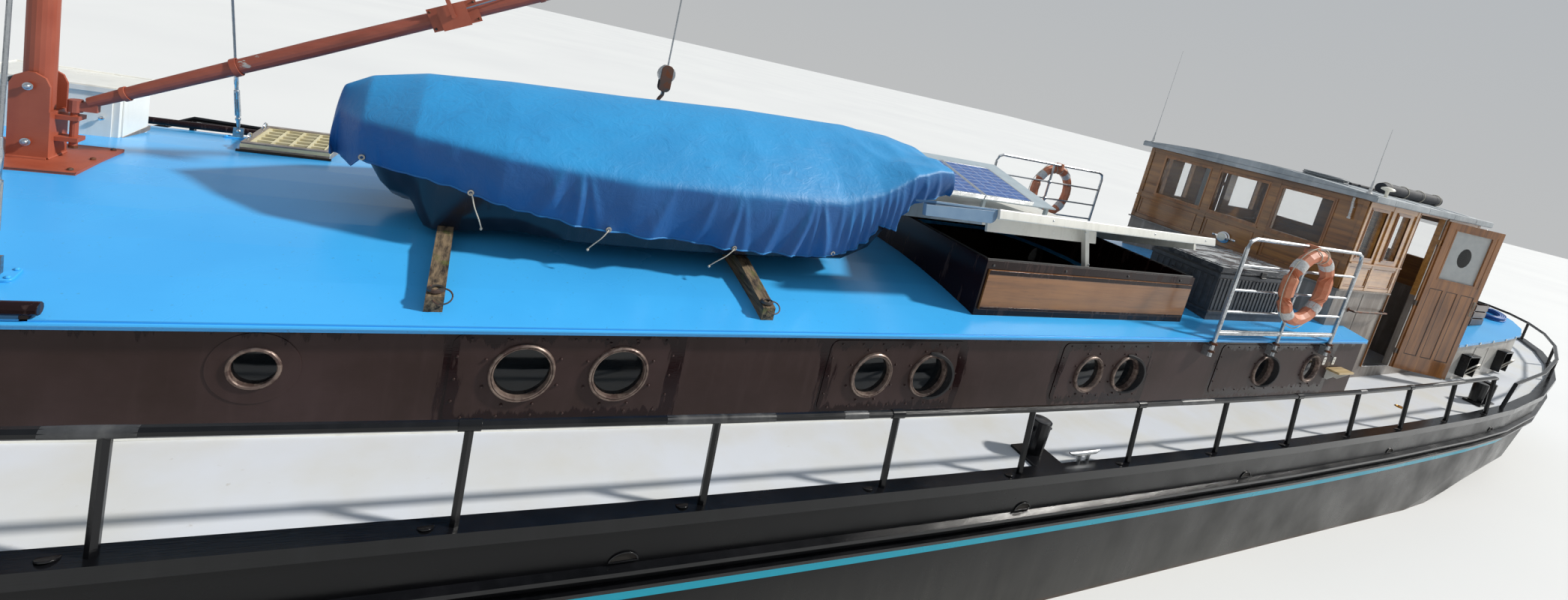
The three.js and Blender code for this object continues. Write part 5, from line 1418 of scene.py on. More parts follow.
across, beads, glass = [], [], []
for y0, y1 in FRONT_LIGHTS:
    beads.append(frame_round(y0 - 30, y1 + 30, 2490, 3050, 32, 0.3, 11, facing_bow(FORE)))
    beads.append(frame_round(y0 - 12, y1 + 12, 2508, 3032, 14, 0.3, 18, facing_bow(FORE), 4))
    glass.append(block(FORE - 32, FORE - 28, y0 - 4, y1 + 4, 2516, 3024))
for y0, y1 in BACK_LIGHTS:
    beads.append(frame_round(y0 - 30, y1 + 30, 2490, 3050, 32, 0.3, 11, facing_stern(AFT)))
    glass.append(block(AFT + 28, AFT + 32, y0 - 4, y1 + 4, 2516, 3024))
for y, half in ((-1225, 24), (-335, 45), (365, 45), (1225, 24)):
    across.append(block(FORE + 0.3, FORE + 13, y - half, y + half, 2128, 3108))
for z0, z1 in ((2128, 2178), (2416, 2486), (3054, 3108)):
    across.append(block(FORE + 0.2, FORE + 10, -1249, 1249, z0, z1))
    across.append(block(AFT - 10, AFT - 0.2, -1249, 1249, z0, z1))
for y0, y1 in ((-1180, -400), (-270, 300), (430, 1180)):
    beads.append(frame_round(y0, y1, 2186, 2410, 16, 0.3, 8, facing_bow(FORE), 3))
    beads.append(block(FORE + 0.3, FORE + 24, y0 - 20, y1 + 20, 2478, 2490))
piece("wheelhouse_front_frames", across, teak_across, bevel=2.5)
piece("wheelhouse_front_beads", beads, teak_upright, bevel=1.5)

sides, side_beads = [], []
for x0, x1 in SIDE_LIGHTS:
    side_beads.append(frame_round(x0 - 26, x1 + 26, 2472, 3048, 28, 0.3, 10, on_side(HALF)))
    side_beads.append(frame_round(x0 - 10, x1 + 10, 2488, 3032, 12, 0.3, 15, on_side(HALF), 4))
    glass += both([block(x0 - 4, x1 + 4, HALF - 32, HALF - 28, 2496, 3024)])
WALLS = ((-5530, -4331), (-7249, -6305))  # before and behind the door, from x to x
POSTS = ((-4380, -4331), (-4942, -4880), (-5530, -5468), (-6360, -6306), (-7249, -7190))
RAILS = ((2124, 2158), (2388, 2424), (3052, 3108))  # from z to z
sides += [block(x0, x1, HALF + 0.2, HALF + 9, z0, z1) for z0, z1 in RAILS for x0, x1 in WALLS]
sides += [block(x0, x1, HALF + 0.2, HALF + 12, 2124, 3108) for x0, x1 in POSTS]
sides += [block(x0, x1, HALF + 0.2, HALF + 30, 2424, 2440) for x0, x1 in ((-5530, -4331), (-7249, -6360))]
LOW_PANELS = ((-4874, -4386), (-5462, -4948), (-7184, -6366))
side_beads += [frame_round(x0, x1, 2164, 2382, 13, 0.3, 7, on_side(HALF), 3) for x0, x1 in LOW_PANELS]
piece("wheelhouse_side_frames", both(sides), teak_along, bevel=2.5)
piece("wheelhouse_side_beads", both(side_beads), teak_upright, bevel=1.5)
piece("wheelhouse_window_panes", glass, clear_glass)
print("window panes:", len(glass))

# %% Doorway, base and roof edge
SILL, LINTEL = 1190, 3085
jamb = [block(-6262, -6248, HALF + 0.3, HALF + 5, SILL, LINTEL)]
piece("doorway_white_jamb_strip", both(jamb), locker_white, bevel=1)
lining = [block(-5543, -5532, HALF + 0.3, HALF + 16, SILL, 3100)]
lining.append(block(-5560, -5547, HALF - 54, HALF - 1, SILL + 4, LINTEL))
lining.append(block(-6300, -5532, HALF + 0.3, HALF + 5, 3088, 3106))
piece("doorway_lining", both(lining), teak_upright, bevel=2)
sill_plate = [plate([rounded(690, 62, 4, 2, (-5895, HALF - 26))], 0.3, 5, facing_up(SILL))]
piece("doorway_sill_plate", both(sill_plate), aluminium, bevel=1)
rail = smooth_path([(-4735, 1252, 1890), (-4735, 1296, 1890), (-4770, 1310, 1890), (-5150, 1312, 1889),
    (-5470, 1310, 1888), (-5505, 1296, 1888), (-5505, 1252, 1888)], 6)
grab = [tube(rail, 11, 10)]
grab += [turned([(26, 0.3), (26, 4), (14, 7)], (x, HALF, 1889), "y", 14) for x in (-4735, -5505)]
piece("wheelhouse_grab_rails", both(grab), rusty_iron)
LIPS = ((-5530, -4331, 26), (-7249, -6420, 26), (-6420, -6330, 14))  # from x to x, and how far out
lip = [block(x0, x1, HALF + 0.3, HALF + out, 2106, 2122) for x0, x1, out in LIPS]
lip += [tube([(x, HALF + 2, z) for z in np.linspace(1300, 2080, 5)], 2.2, 5) for x in (-4950, -6750)]
piece("wheelhouse_base_lip", both(lip) + [block(FORE + 0.3, FORE + 26, -1275, 1275, 2106, 2122)], house_steel,
    bevel=1.5)
white_strip = []
joints = [-4224, -4641, -5487, -6175, -6801, -7336]
for x1, x0 in zip(joints, joints[1:]):
    white_strip.append(block(x0 + 4, x1 - 4, 1330.3, 1337, 3118, 3166))
    white_strip.append(tube([(x0 + 4, 1322, 3174), (x1 - 4, 1322, 3174)], 9, 8))
white_strip = both(white_strip) + [block(-4219.5, -4213, -1330, 1330, 3118, 3166),
    tube([(-4226, -1322, 3174), (-4226, 1322, 3174)], 9, 8)]
piece("wheelhouse_roof_edge_strip", white_strip, roof_grey, bevel=2)
seams = [tube([(x, y, house_roof_z(x, y) + 1) for y in np.linspace(-1290, 1290, 22)], 5, 6)
    for x in (-4641, -5487, -6175, -6801)]
piece("wheelhouse_roof_seams", seams, roof_grey)

# %% [markdown]
# ## Doors
# Each leaf is a joiner's door: two stiles, three rails, three tall panels under a light of etched
# glass with a clear oval in the middle. The pieces ride on the door bodies, so they swing with them.

# %% Door fittings
etched_glass = plain("acid_etched_glass", "C9CCCB", 0.55, "BFC3C3", 60, 0.0004, Transmission_Weight=0.25)
HINGE = (-6243, 1276)


def door_shapes(turn, shapes, flip=1):
    """Local door shapes (x from the hinge, y out, z up) swung open and set on their jamb."""
    place = Matrix.Translation((HINGE[0], HINGE[1], 0)) @ Matrix.Rotation(radians(turn), 4, "Z")
    placed = [moved(s, place) for s in shapes]
    return placed if flip > 0 else mirrored(placed)


for body, turn, flip in (("door_port", 153, 1), ("door_stbd", 0, -1)):
    outside, inside = on_side(20), (lambda u, v, w: (u, -20 - w, v))
    wood = []
    # Outside, the frame starts 32 mm from the hinge pin, so that the leaf can fold back on the wall.
    for at, deep, edge in ((outside, 4, 32), (inside, 3.6, 14)):
        wood.append(plate([rounded(674 - edge, 1881, 4, 2, ((674 + edge) / 2, 2142.5)),
            rounded(544, 1765, 4, 2, (344, 2142.5))], 0.3, deep, at))
        for z0, z1 in ((1260, 1400), (2262, 2372), (3010, 3026)):
            wood.append(plate([[(72, z0), (616, z0), (616, z1), (72, z1)]], 0.3, deep, at))
        for x0 in (232, 412):
            wood.append(plate([[(x0, 1400), (x0 + 44, 1400), (x0 + 44, 2262), (x0, 2262)]], 0.3, deep, at))
        wood.append(frame_round(108, 578, 2378, 3007, 16, 0.3, min(deep, 7) * 0.95, at, 3))
    piece(body + "_frames", door_shapes(turn, wood, flip), teak_upright, body=body, bevel=1.2)
    # Dark strips round each panel: painted shadow in the grooves.
    grooves = []
    for at, deep in ((outside, 2.4), (inside, 2.0)):
        for x0, x1 in ((72, 232), (276, 412), (456, 616)):
            grooves.append(frame_round(x0, x1, 1400, 2262, 9, 0.2, deep, at, 2))
    piece(body + "_panel_shadow_beads", door_shapes(turn, grooves, flip), teak_shadow, body=body)
    mid = (343, 2692)
    oval = [(mid[0] + 78 * cos(2 * pi * k / 36), mid[1] + 118 * sin(2 * pi * k / 36)) for k in range(36)]
    pane = [plate([rounded(462, 622, 4, 2, mid), oval], -2, 2, on_side(0))]
    clear = [plate([oval], -1.6, 1.6, on_side(0))]
    piece(body + "_etched_pane", door_shapes(turn, pane, flip), etched_glass, body=body)
    # The clear oval is near-black glass: painted shade for the wheelhouse behind it.
    piece(body + "_clear_oval", door_shapes(turn, clear, flip), dark_glass, body=body)
    iron = []
    for z in (1380, 2010, 2780):
        iron.append(plate([rounded(82, 58, 6, 2, (67, z))], 20.3, 22.4, on_side(0)))
        iron += [bolt((u, 22, z + v), "y", 6, 1.8) for u in (48, 88) for v in (-18, 18)]
    piece(body + "_hinge_leaves", door_shapes(turn, iron, flip), black_steel, body=body, bevel=0.8)
    brass = [plate([rounded(44, 190, 14, 4, (642, 2120))], y0, y1, on_side(0))
        for y0, y1 in ((20.3, 24), (-23.6, -20.3))]
    brass.append(turned([(9, 22), (9, 40), (22, 46), (27, 56), (24, 66), (12, 71), (2, 72)], (642, 0, 2160),
        "y", 20))
    piece(body + "_knob_and_plates", door_shapes(turn, brass, flip), porthole_metal, body=body, bevel=0.8)
jamb_iron = [block(-6302, -6262, HALF + 5.2, HALF + 8.6, z - 29, z + 29) for z in (1380, 2010, 2780)]
piece("hinge_jamb_leaves", both(jamb_iron), black_steel, bevel=0.8)
print("doors dressed")

# %% [markdown]
# ## On and around the wheelhouse
# Small things tell the size of a boat: a lamp on the front, a drain pipe at the corner, whip
# aerials, a rolled awning tied down on the roof, a folding step on the den's side.

# %% Wheelhouse fittings
lamp = [turned([(70, 0.3), (72, 8), (60, 14), (58, 34), (64, 38), (62, 46), (36, 60), (4, 66)],
    (FORE + 10, 8, 2246), "x", 28)]
lamp.append(block(FORE + 0.3, FORE + 12, -128, 142, 2238, 2258))
lamp += [turned([(16, 0), (18, 8), (10, 20), (2, 22)], (FORE + 10, y, 2248), "x", 14) for y in (-118, 132)]
piece("front_lamp_housing", lamp, chrome, bevel=1)
piece("front_lamp_lens", [turned([(50, 60), (44, 68), (26, 76), (3, 79)], (FORE + 10, 8, 2246), "x", 28)],
    lamp_lens)
drain = smooth_path([(FORE + 40, 1120, 3106), (FORE + 44, 1122, 3060), (FORE + 40, 1128, 2990),
    (FORE + 38, 1132, 2890)], 6)
piece("front_drain_pipe", [tube(drain, 11, 10), turned([(17, -8), (17, 8), (12, 12)], (FORE + 38, 1132, 2884),
    "z", 16), block(FORE + 0.3, FORE + 34, 1118, 1138, 3000, 3012)], band_white)
aerials = []
for x, y, tilt, high in ((-4262, 1236, 40, 560), (-4262, -1236, -20, 1150)):
    z = house_roof_z(x, y)
    aerials.append(turned([(30, -2), (30, 6), (16, 16), (14, 60), (11, 70), (9, 130), (6, 140)], (x, y, z),
        "z", 14))
    aerials.append(tube([(x, y, z + 130), (x + tilt * 0.4, y, z + 130 + high * 0.5),
        (x + tilt, y + tilt * 0.2, z + 130 + high)], [4.5, 3.2, 2.0], 6))
piece("whip_aerials", aerials, band_white)
cap = [turned([(16, 0), (15, 60), (20, 74), (58, 84), (62, 96), (52, 108), (24, 118), (2, 120)],
    (-4560, 1262, house_roof_z(-4560, 1262) - 2), "z", 24)]
piece("satnav_aerial", cap, lamp_lens)

ROLL = [(-5560, 820, 66), (-6000, 812, 68), (-6500, 800, 65), (-6960, 792, 66), (-7230, 786, 66)]  # x, y, up
roll_path = smooth_path([(x, y, house_roof_z(x, y) + up) for x, y, up in ROLL], 10)
radii = [66 + 5 * noise.noise(Vector((p[0] / 130, 0, 0))) for p in roll_path]
radii[0] = radii[-1] = 60
piece("rolled_awning", [tube(roll_path, radii, 22)], awning_dark, smooth=60)
ties = []
for x in (-5700, -6150, -6600, -7080):
    ties.append(tube([(x, 805 + 73 * cos(a), house_roof_z(x, 805) + 67 + 73 * sin(a))
        for a in np.linspace(0, 2 * pi, 24, endpoint=False)], 5, 6, True))
piece("awning_straps", ties, rope_white)
POLES = [((-5500, 640), (-7240, 600)), ((-5460, 560), (-7200, 540))]
poles = [tube([(x, y, house_roof_z(x, y) + 17) for x, y in ends], 16, 12) for ends in POLES]
piece("awning_poles", poles, awning_dark)

STEP_X0, STEP_X1 = -4440, -4120
tread = [block(STEP_X0, STEP_X1, 1478, 1600, 1306, 1328)]
piece("folding_step_tread", both(tread), step_wood, bevel=3)
brackets = [plate([[(1474, 1304), (1580, 1304), (1580, 1294), (1500, 1200), (1474, 1200)]], -4, 4,
    lambda u, v, w, x=x: (x + w, u, v)) for x in (STEP_X0 + 50, STEP_X1 - 50)]
brackets += [plate([rounded(52, 86, 8, 2, (x, 1396)), circle(9, (x, 1412), 12), circle(9, (x, 1380), 12)],
    0.3, 5, on_side(DEN_FACE)) for x in (-4050, -4248)]
piece("folding_step_brackets", both(brackets), locker_white, bevel=1)
print("wheelhouse dressed")

# %% [markdown]
# ## Finding the skin
# The hull, the deck and the aft cabin are curved, so a fitting can't be placed by a typed number
# alone. A ray is shot at the CAD solid and the fitting sits where it lands, turned to the surface
# there. This is what a shrinkwrap modifier does, but it gives the exact place as numbers.

# %% Rays onto the solids
SKINS = {}
FAR = 4000  # where a ray starts


def touch(name, start, way):
    """Where a ray lands on a CAD node, in mm: a matrix with x along, y out of the surface and z up."""
    if name not in SKINS:
        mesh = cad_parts[name].data
        SKINS[name] = BVHTree.FromPolygons([v.co.copy() for v in mesh.vertices],
            [tuple(p.vertices) for p in mesh.polygons], epsilon=1e-5)
    spot, normal = SKINS[name].ray_cast(Vector(start) * MM, Vector(way).normalized())[:2]
    if spot is None:
        raise ValueError(f"nothing of {name} lies on that ray from {start}")
    out = normal if normal.dot(Vector(way)) < 0 else -normal
    up = Vector((0, 0, 1)) if abs(out.z) < 0.9 else Vector((0, 1, 0))
    along = up.cross(out).normalized() * -1
    up = along.cross(out)
    return Matrix.Translation(spot / MM) @ Matrix((along, out, up)).transposed().to_4x4()


def deck_at(x, y):
    return touch("hull", (x, y, FAR), (0, 0, -1)).translation.z


def from_port(name, x, z):
    return touch(name, (x, FAR, z), (0, -1, 0))


print("deck beside the den at x = 0:", round(deck_at(0, 1700)), "mm")

# %% [markdown]
# ## Rail, deck and topsides
# The pipe rail is joined by sleeves where two lengths meet, and hands have worn its paint to grey.
# Half-round scuppers let the deck drain through the bulwark's foot. Cleats take the fenders' lines.

# %% Rail sleeves, scuppers, cleats, fillers
RAIL_Y, RAIL_UP = 2065, 455
sleeves, worn = [], []
for x in (4050, 1950, -150, -2250, -4350):
    sleeves.append(tube([(x + d, RAIL_Y, sheer(x + d) + RAIL_UP) for d in (-42, 42)], 24.5, 16))
for x in np.arange(-6400, 6200, 1050.0):
    y0 = 2105
    sleeves.append(tube([(x + 50, y0, sheer(x + 50) + 38), (x + 50, y0 - 2, sheer(x + 50) + 44)], 31, 14))
piece("side_rail_sleeves", both(sleeves), black_steel, bevel=2)
for x0, x1 in ((5250, 5020), (3250, 2700), (2300, 2150), (-600, -1000), (-3300, -3420), (-4800, -5600)):
    worn.append(tube([(x, RAIL_Y, sheer(x) + RAIL_UP + 0.5) for x in np.linspace(x0, x1, 5)],
        [20.5, 21.7, 21.9, 21.7, 20.5], 16))
piece("side_rail_worn_lengths", both(worn), worn_black)

half_round = [(70 * cos(a), 52 * sin(a)) for a in np.linspace(0, pi, 15)]
small_round = [(60 * cos(a), 6 + 40 * sin(a)) for a in np.linspace(0, pi, 15)]
mouths, rims = [], []
for x in (5851, 3336, 821, -1694, -4209, -6724):
    seat = from_port("hull", x, sheer(x) - 196)
    mouths.append(moved(plate([small_round], -6, 1.4, on_side(0)), seat))
    rims.append(moved(plate([half_round, small_round], -6, 7, on_side(0)), seat))
# The scupper mouths are near-black sheets: painted shade in the openings.
piece("scupper_mouths", both(mouths), shade_in_openings)
piece("scupper_rims", both(rims), black_steel, bevel=1.5)

CLEAT_X, CLEAT_Y = 230, 2035
z = deck_at(CLEAT_X, CLEAT_Y)
cleat = [block(CLEAT_X - 70, CLEAT_X + 70, 2012, 2058, z - 2, z + 9)]
cleat += [turned([(17, 0), (14, 30), (15, 78)], (CLEAT_X + d, CLEAT_Y, z + 6), "z", 12) for d in (-42, 42)]
horn = [(CLEAT_X + d, CLEAT_Y, z + up) for d, up in ((-150, 92), (-110, 84), (0, 82), (110, 84), (150, 92))]
cleat.append(tube(horn, [6, 15, 17, 15, 6], 12))
piece("deck_cleats", both(cleat), zinc, bevel=1.5)
fillers = []
for x, y in ((-5200, -1800), (7600, 1500)):
    z = deck_at(x, y)
    fillers.append(turned([(46, -1), (46, 5), (40, 8), (34, 8), (32, 5), (3, 5)], (x, y, z), "z", 24))
    fillers.append(block(x - 24, x + 24, y - 4, y + 4, z + 5, z + 9))
piece("deck_fillers", both(fillers), bronze, bevel=1)

tops = []
for name, x, y in (("bollard_aft_port", -6960, 1900), ("bollard_aft_stbd", -6960, -1900),
        ("bollard_fore", 9500, 0)):
    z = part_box(name)[1][2] / MM
    tops += [turned([(61, 0.2), (60, 4), (46, 8), (2, 9)], (x + d, y, z), "z", 26) for d in (-120, 120)]
tops += both([turned([(58, 0.2), (57, 4), (44, 8), (2, 9)], (560, 1900, 1246), "z", 26)])
piece("bollard_worn_tops", tops, worn_black)
horns = both([turned([(14, -105), (15, -60), (15, 60), (14, 105)], (560, 1900, 1180), "x", 12)])
piece("midship_bollard_pins", horns, black_steel)
print("deck fittings:", len(sleeves), "sleeves,", len(mouths), "scuppers a side")

# %% [markdown]
# ## Guard rails, lifebuoys and storage box
# The rails by the wheelhouse are galvanised pipe, held by clamps so that they can be taken down.
# A lifebuoy has four reflective bands; its line runs round outside them. The box is a moulded one
# whose sides are ribbed, because a rib makes thin plastic stiff.

# %% Guard rail clamps, buoy bands, box ribs
GUARD_Y = 1525
clamps = []
for x in (-1840, -2870, -3870):
    for z in (1540, 1612):
        clamps.append(turned([(20, -11), (27, -11), (27, 11), (20, 11)], (x, GUARD_Y, z), "z", 16, ring=True))
        clamps.append(block(x - 13, x + 13, 1498, 1502.5, z - 14, z + 14))
        clamps.append(bolt((x, 1552, z), "y", 8, 10))
        clamps.append(tube([(x + 24, GUARD_Y, z), (x + 36, GUARD_Y, z)], 7, 6))
piece("guard_rail_clamps", both(clamps), rusty_iron, bevel=0.8)
sleeve = [(19.5, -16), (25, -14), (25, 14), (19.5, 16)]
flats = [block(-3855, -1855, 1520, 1530, 1692, 1738)]
flats += [turned(sleeve, (-2870, GUARD_Y, z), "x", 14) for z in (1915, 2118, 2345)]
piece("guard_rail_toe_bar", both(flats), zinc, bevel=2)

for side, s in (("port", 1), ("stbd", -1)):
    bands, lashings = [], []
    for middle in (38, 128, 218, 308):
        arc = [radians(middle + d) for d in np.linspace(-8.5, 8.5, 7)]
        bands.append(tube([(BUOY[side] + BUOY["r"] * cos(a), s * BUOY["y"], BUOY["z"] + BUOY["r"] * sin(a))
            for a in arc], [57, 59, 59.5, 59.5, 59.5, 59, 57], 24))
    for a in (80, 100):
        spin = radians(a)
        ring = []
        for w in np.linspace(0, 2 * pi, 20, endpoint=False):
            reach, out = BUOY["r"] + 62 * cos(w), BUOY["y"] + 62 * sin(w)
            ring.append((BUOY[side] + reach * cos(spin), s * out, BUOY["z"] + reach * sin(spin)))
        lashings.append(tube(ring, 5, 6, True))
    piece("lifebuoy_bands_" + side, bands, band_white)
    piece("lifebuoy_lashings_" + side, lashings, rope_white)

ribs = []
for x in np.arange(-3440, -2190, 62.0):
    ribs += [block(x, x + 34, 1230.3, 1237, 1800, 2110), block(x, x + 34, 553, 559.7, 1800, 2110)]
for y in np.arange(600, 1200, 62.0):
    ribs += [block(-2149.7, -2143, y, y + 34, 1800, 2110), block(-3507, -3500.3, y, y + 34, 1800, 2110)]
LEDGES = ((1766, 1790), (2124, 2160))  # from z to z
ribs += [block(-3505, -2145, 1230.2, 1241, z0, z1) for z0, z1 in LEDGES]
ribs += [block(-2149.8, -2138, 552, 1238, z0, z1) for z0, z1 in LEDGES]
piece("storage_box_ribs", ribs, box_plastic, bevel=2)
grips = []
for ends, near, far in ((-2142, -2118, -2112), (-3508, -3530, -3536)):
    grip = [(ends, 800, 2060), (near, 805, 2052), (far, 895, 2046), (near, 985, 2052), (ends, 990, 2060)]
    grips.append(tube(smooth_path(grip, 5), 9, 8))
piece("storage_box_grips", grips, black_rubber)
BOX_MIDDLE, BOX_TOP = (-2825, 895), 2225
lid_top = [plate([rounded(1290, 610, 40, 5, BOX_MIDDLE)], 0.3, 9, facing_up(BOX_TOP))]
rim = [rounded(1390, 710, 20, 4, BOX_MIDDLE), rounded(1330, 650, 40, 4, BOX_MIDDLE)]
lid_top.append(plate(rim, 0.2, 5, facing_up(BOX_TOP)))
piece("storage_box_lid_panel", lid_top, box_lid, body="storage_top", bevel=3)
piece("storage_box_latch", [block(-2870, -2780, 1250.3, 1258, 2150, 2214),
    turned([(8, -40), (8, 40)], (-2825, 1262, 2156), "x", 10)], black_rubber, body="storage_top", bevel=2)
print("buoys and box dressed")

# %% [markdown]
# ## Aft cabin
# The living quarters of the skipper: portholes that hinge open under dark square boxes, which keep
# rain out, a bolted plate between them, and clips along the roof's lip for a winter cover. A crate
# and a hank of rope lie on the roof.

# %% Aft cabin fittings
hoods, brass_rings, holes, trims = [], [], [], []
for x, z in ((-7700, 1300), (-8850, 1355)):
    # The ray meets the wall 150 mm lower, because the middle is an opening.
    seat = from_port("aft_cabin", x, z - 150) @ Matrix.Translation((0, 0, 150))
    holes.append(seated(seat, [(124, -26), (124, -18), (90, -17), (2, -16.5)], "y", 32))
    brass_rings.append(seated(seat, [(118, 0), (118, 14), (124, 20), (136, 20), (142, 12), (144, 0.3)], "y",
        32, ring=True))
    hood = [plate([rounded(330, 18, 4, 2, (0, 166))], 0.3, 92, on_side(0))]
    hood += [plate([[(s * 165, 174), (s * 150, 174), (s * 150, -120), (s * 165, -60)]], 0.3, 88, on_side(0))
        for s in (1, -1)]
    hoods += [moved(h, seat) for h in hood]
    hinge = seat @ Matrix.Translation((0, 22, -120))
    swung = hinge @ Matrix.Rotation(radians(-28), 4, "X") @ Matrix.Translation((0, 0, 120))
    brass_rings.append(seated(swung, [(108, 0), (108, 8), (116, 12), (128, 12), (130, 0)], "y", 30,
        ring=True))
    trims += [moved(bolt((158 * cos(a), 0, 158 * sin(a)), "y", 6, 5), seat)
        for a in np.linspace(0.4, 6.68, 6, endpoint=False)]
# Near-black panes: painted shade for the cabin behind them.
piece("aft_porthole_panes", both(holes), dark_glass)
piece("aft_porthole_rings", both(brass_rings), porthole_metal, bevel=0.6)
piece("aft_porthole_boxes", both(hoods), black_steel, bevel=2)
outline = []
corners = rounded(430, 334, 26, 4, (-8120, 1394))
outline.append(tube([tuple(from_port("aft_cabin", u, v) @ Vector((0, 1.5, 0))) for u, v in corners], 3.5, 6,
    True))
trims += [moved(bolt((0, 0, 0), "y", 6, 5), from_port("aft_cabin", u, v))
    for u, v in rounded(380, 284, 10, 1, (-8120, 1394))]
low_edge = [tuple(from_port("aft_cabin", x, deck_at(x, 1600) + 10) @ Vector((0, 1, -4)))
    for x in np.linspace(-7300, -8700, 16)]
outline.append(tube(low_edge, 10, 6))
piece("aft_cabin_plate_edges", both(outline), cabin_grey)
piece("aft_cabin_screws", both(trims), porthole_metal)
clips = []
for k in range(6):
    x = -7450 - 420 * k
    edge_z = CABIN_EDGE - (x - CABIN_FORE) * CABIN_RISE - 14
    try_at = from_port("aft_cabin_roof", x, edge_z)
    clips.append(moved(block(-14, 14, 0, 9, -16, 16), try_at))
piece("aft_roof_clips", both(clips), locker_white, bevel=2)

CRATE_X, CRATE_Y = (-8880, -8450), (800, 1180)
base = cabin_roof_z(-8665, 1180) - 6
crate = [block(*CRATE_X, CRATE_Y[0], CRATE_Y[1], base, base + 16)]
for k in range(3):
    z0 = base + 20 + 100 * k
    crate += [block(*CRATE_X, y - 8, y + 8, z0, z0 + 84) for y in CRATE_Y]
    crate += [block(x - 8, x + 8, *CRATE_Y, z0, z0 + 84) for x in CRATE_X]
for x in (CRATE_X[0] + 20, CRATE_X[1] - 20):
    for y in (CRATE_Y[0] + 20, CRATE_Y[1] - 20):
        crate.append(block(x - 20, x + 20, y - 20, y + 20, base, base + 312))
piece("deck_crate", crate, teak_shadow, bevel=3)
vent = cabin_roof_z(-9600, 620)
piece("cabin_vent_box", [block(-9700, -9500, 550, 690, vent - 8, vent + 80),
    block(-9712, -9488, 538, 702, vent + 82, vent + 96)], black_steel, bevel=4)
STOVE = (-7700, -700, cabin_roof_z(-7700, -700))
PIPE = [(78, -6), (78, 10), (58, 14), (56, 330), (60, 334), (60, 344), (52, 346)]
CAP = [(96, 366), (98, 372), (60, 402), (20, 416), (2, 418)]
chimney = [turned(profile, STOVE, "z", 28) for profile in (PIPE, CAP)]
for c, s in ((1, 0), (-0.5, 0.87), (-0.5, -0.87)):  # three straps hold the cap
    x, y = STOVE[0] + 54 * c, STOVE[1] + 54 * s
    chimney.append(block(x - 6, x + 6, y - 6, y + 6, STOVE[2] + 330, STOVE[2] + 372))
piece("stove_chimney", chimney, rusty_iron)
print("aft cabin dressed")

# %% [markdown]
# ## Bow gear
# A barge drops her anchors with a hand windlass: chain runs from each wheel of it over the deck,
# through a hawse ring in the bulwark and down to the anchor outside. A chain could be one link
# repeated by an array modifier along a curve, but each second link has to stand at right angles, so
# the links are set here one by one. Knees brace the bulwark from inside.

# %% Windlass, chains, hawse rings, knees
LINK, LINK_WIRE = 74, 8  # a link's pitch and half its wire, mm


def chain(start, end):
    """Links from start to end, each turned a quarter against the last."""
    start, end = Vector(start), Vector(end)
    count = max(2, round((end - start).length / LINK))
    way = (end - start).normalized()
    side = way.cross(Vector((0, 0, 1))).normalized()
    links = []
    for k in range(count):
        middle = start.lerp(end, (k + 0.5) / count)
        flat = side if k % 2 else side.cross(way)
        turns = np.linspace(0.1, 2 * pi + 0.1, 14, endpoint=False)
        oval = [(copysign(22, cos(a)) + 26 * cos(a), 24 * sin(a)) for a in turns]
        links.append(tube([middle + way * u + flat * v for u, v in oval], LINK_WIRE, 6, closed=True))
    return links


hatch_handle = [tube([(8440, y, 1603), (8440, y, 1640), (8450, y, 1648), (8550, y, 1648), (8560, y, 1640),
    (8560, y, 1603)], 8, 10) for y in (-300, 300)]
hatch_handle += [block(8380, 8620, y - 3, y + 3, 1604.2, 1612) for y in (-120, 120)]
piece("fore_hatch_handles", hatch_handle, zinc, body="fore_hatch_top")

gear, chains, rings = [], [], []
BARREL_X, BARREL_Z = 10530, 1758  # the windlass barrel's axis
for y in (-272, 272):
    radii = [150 if k % 4 < 2 else 136 for k in range(48)]
    teeth = [(r * cos(pi * k / 24), r * sin(pi * k / 24)) for k, r in enumerate(radii)]
    gear.append(plate([teeth, circle(30)], y - 13, y + 13, lambda u, v, w: (BARREL_X + u, w, BARREL_Z + v)))
for s in (1, -1):  # a disc and a crank at each end
    disc = [(20, s * 362), (20, s * 376), (96, s * 378), (96, s * 384), (30, s * 386)]
    gear.append(turned(disc, (BARREL_X, 0, BARREL_Z), "y", 28))
for s in (1, -1):
    crank = [(BARREL_X, s * 381, BARREL_Z), (BARREL_X, s * 402, BARREL_Z), (10640, s * 402, 1880),
        (10640, s * 470, 1880)]
    gear.append(tube(crank, 13, 10))
gear += both([bolt((x, 232, z), "y", 13, 9) for x, z in ((10360, 1480), (10700, 1480), (10420, 1800),
    (10640, 1800))])
piece("windlass_gear_and_cranks", gear, rusty_iron, bevel=2)
inside = touch("bulwark_bow", (10980, 300, 1760), (0, 1, 0))
outside = touch("bulwark_bow", (11080, 3000, 1740), (0, -1, 0))
for seat in (inside, outside):
    rings.append(seated(seat, [(62, -3), (62, 16), (70, 26), (88, 26), (98, 16), (98, 0.5)], "y", 30,
        ring=True))
piece("hawse_rings", both(rings), black_steel, bevel=1.5)
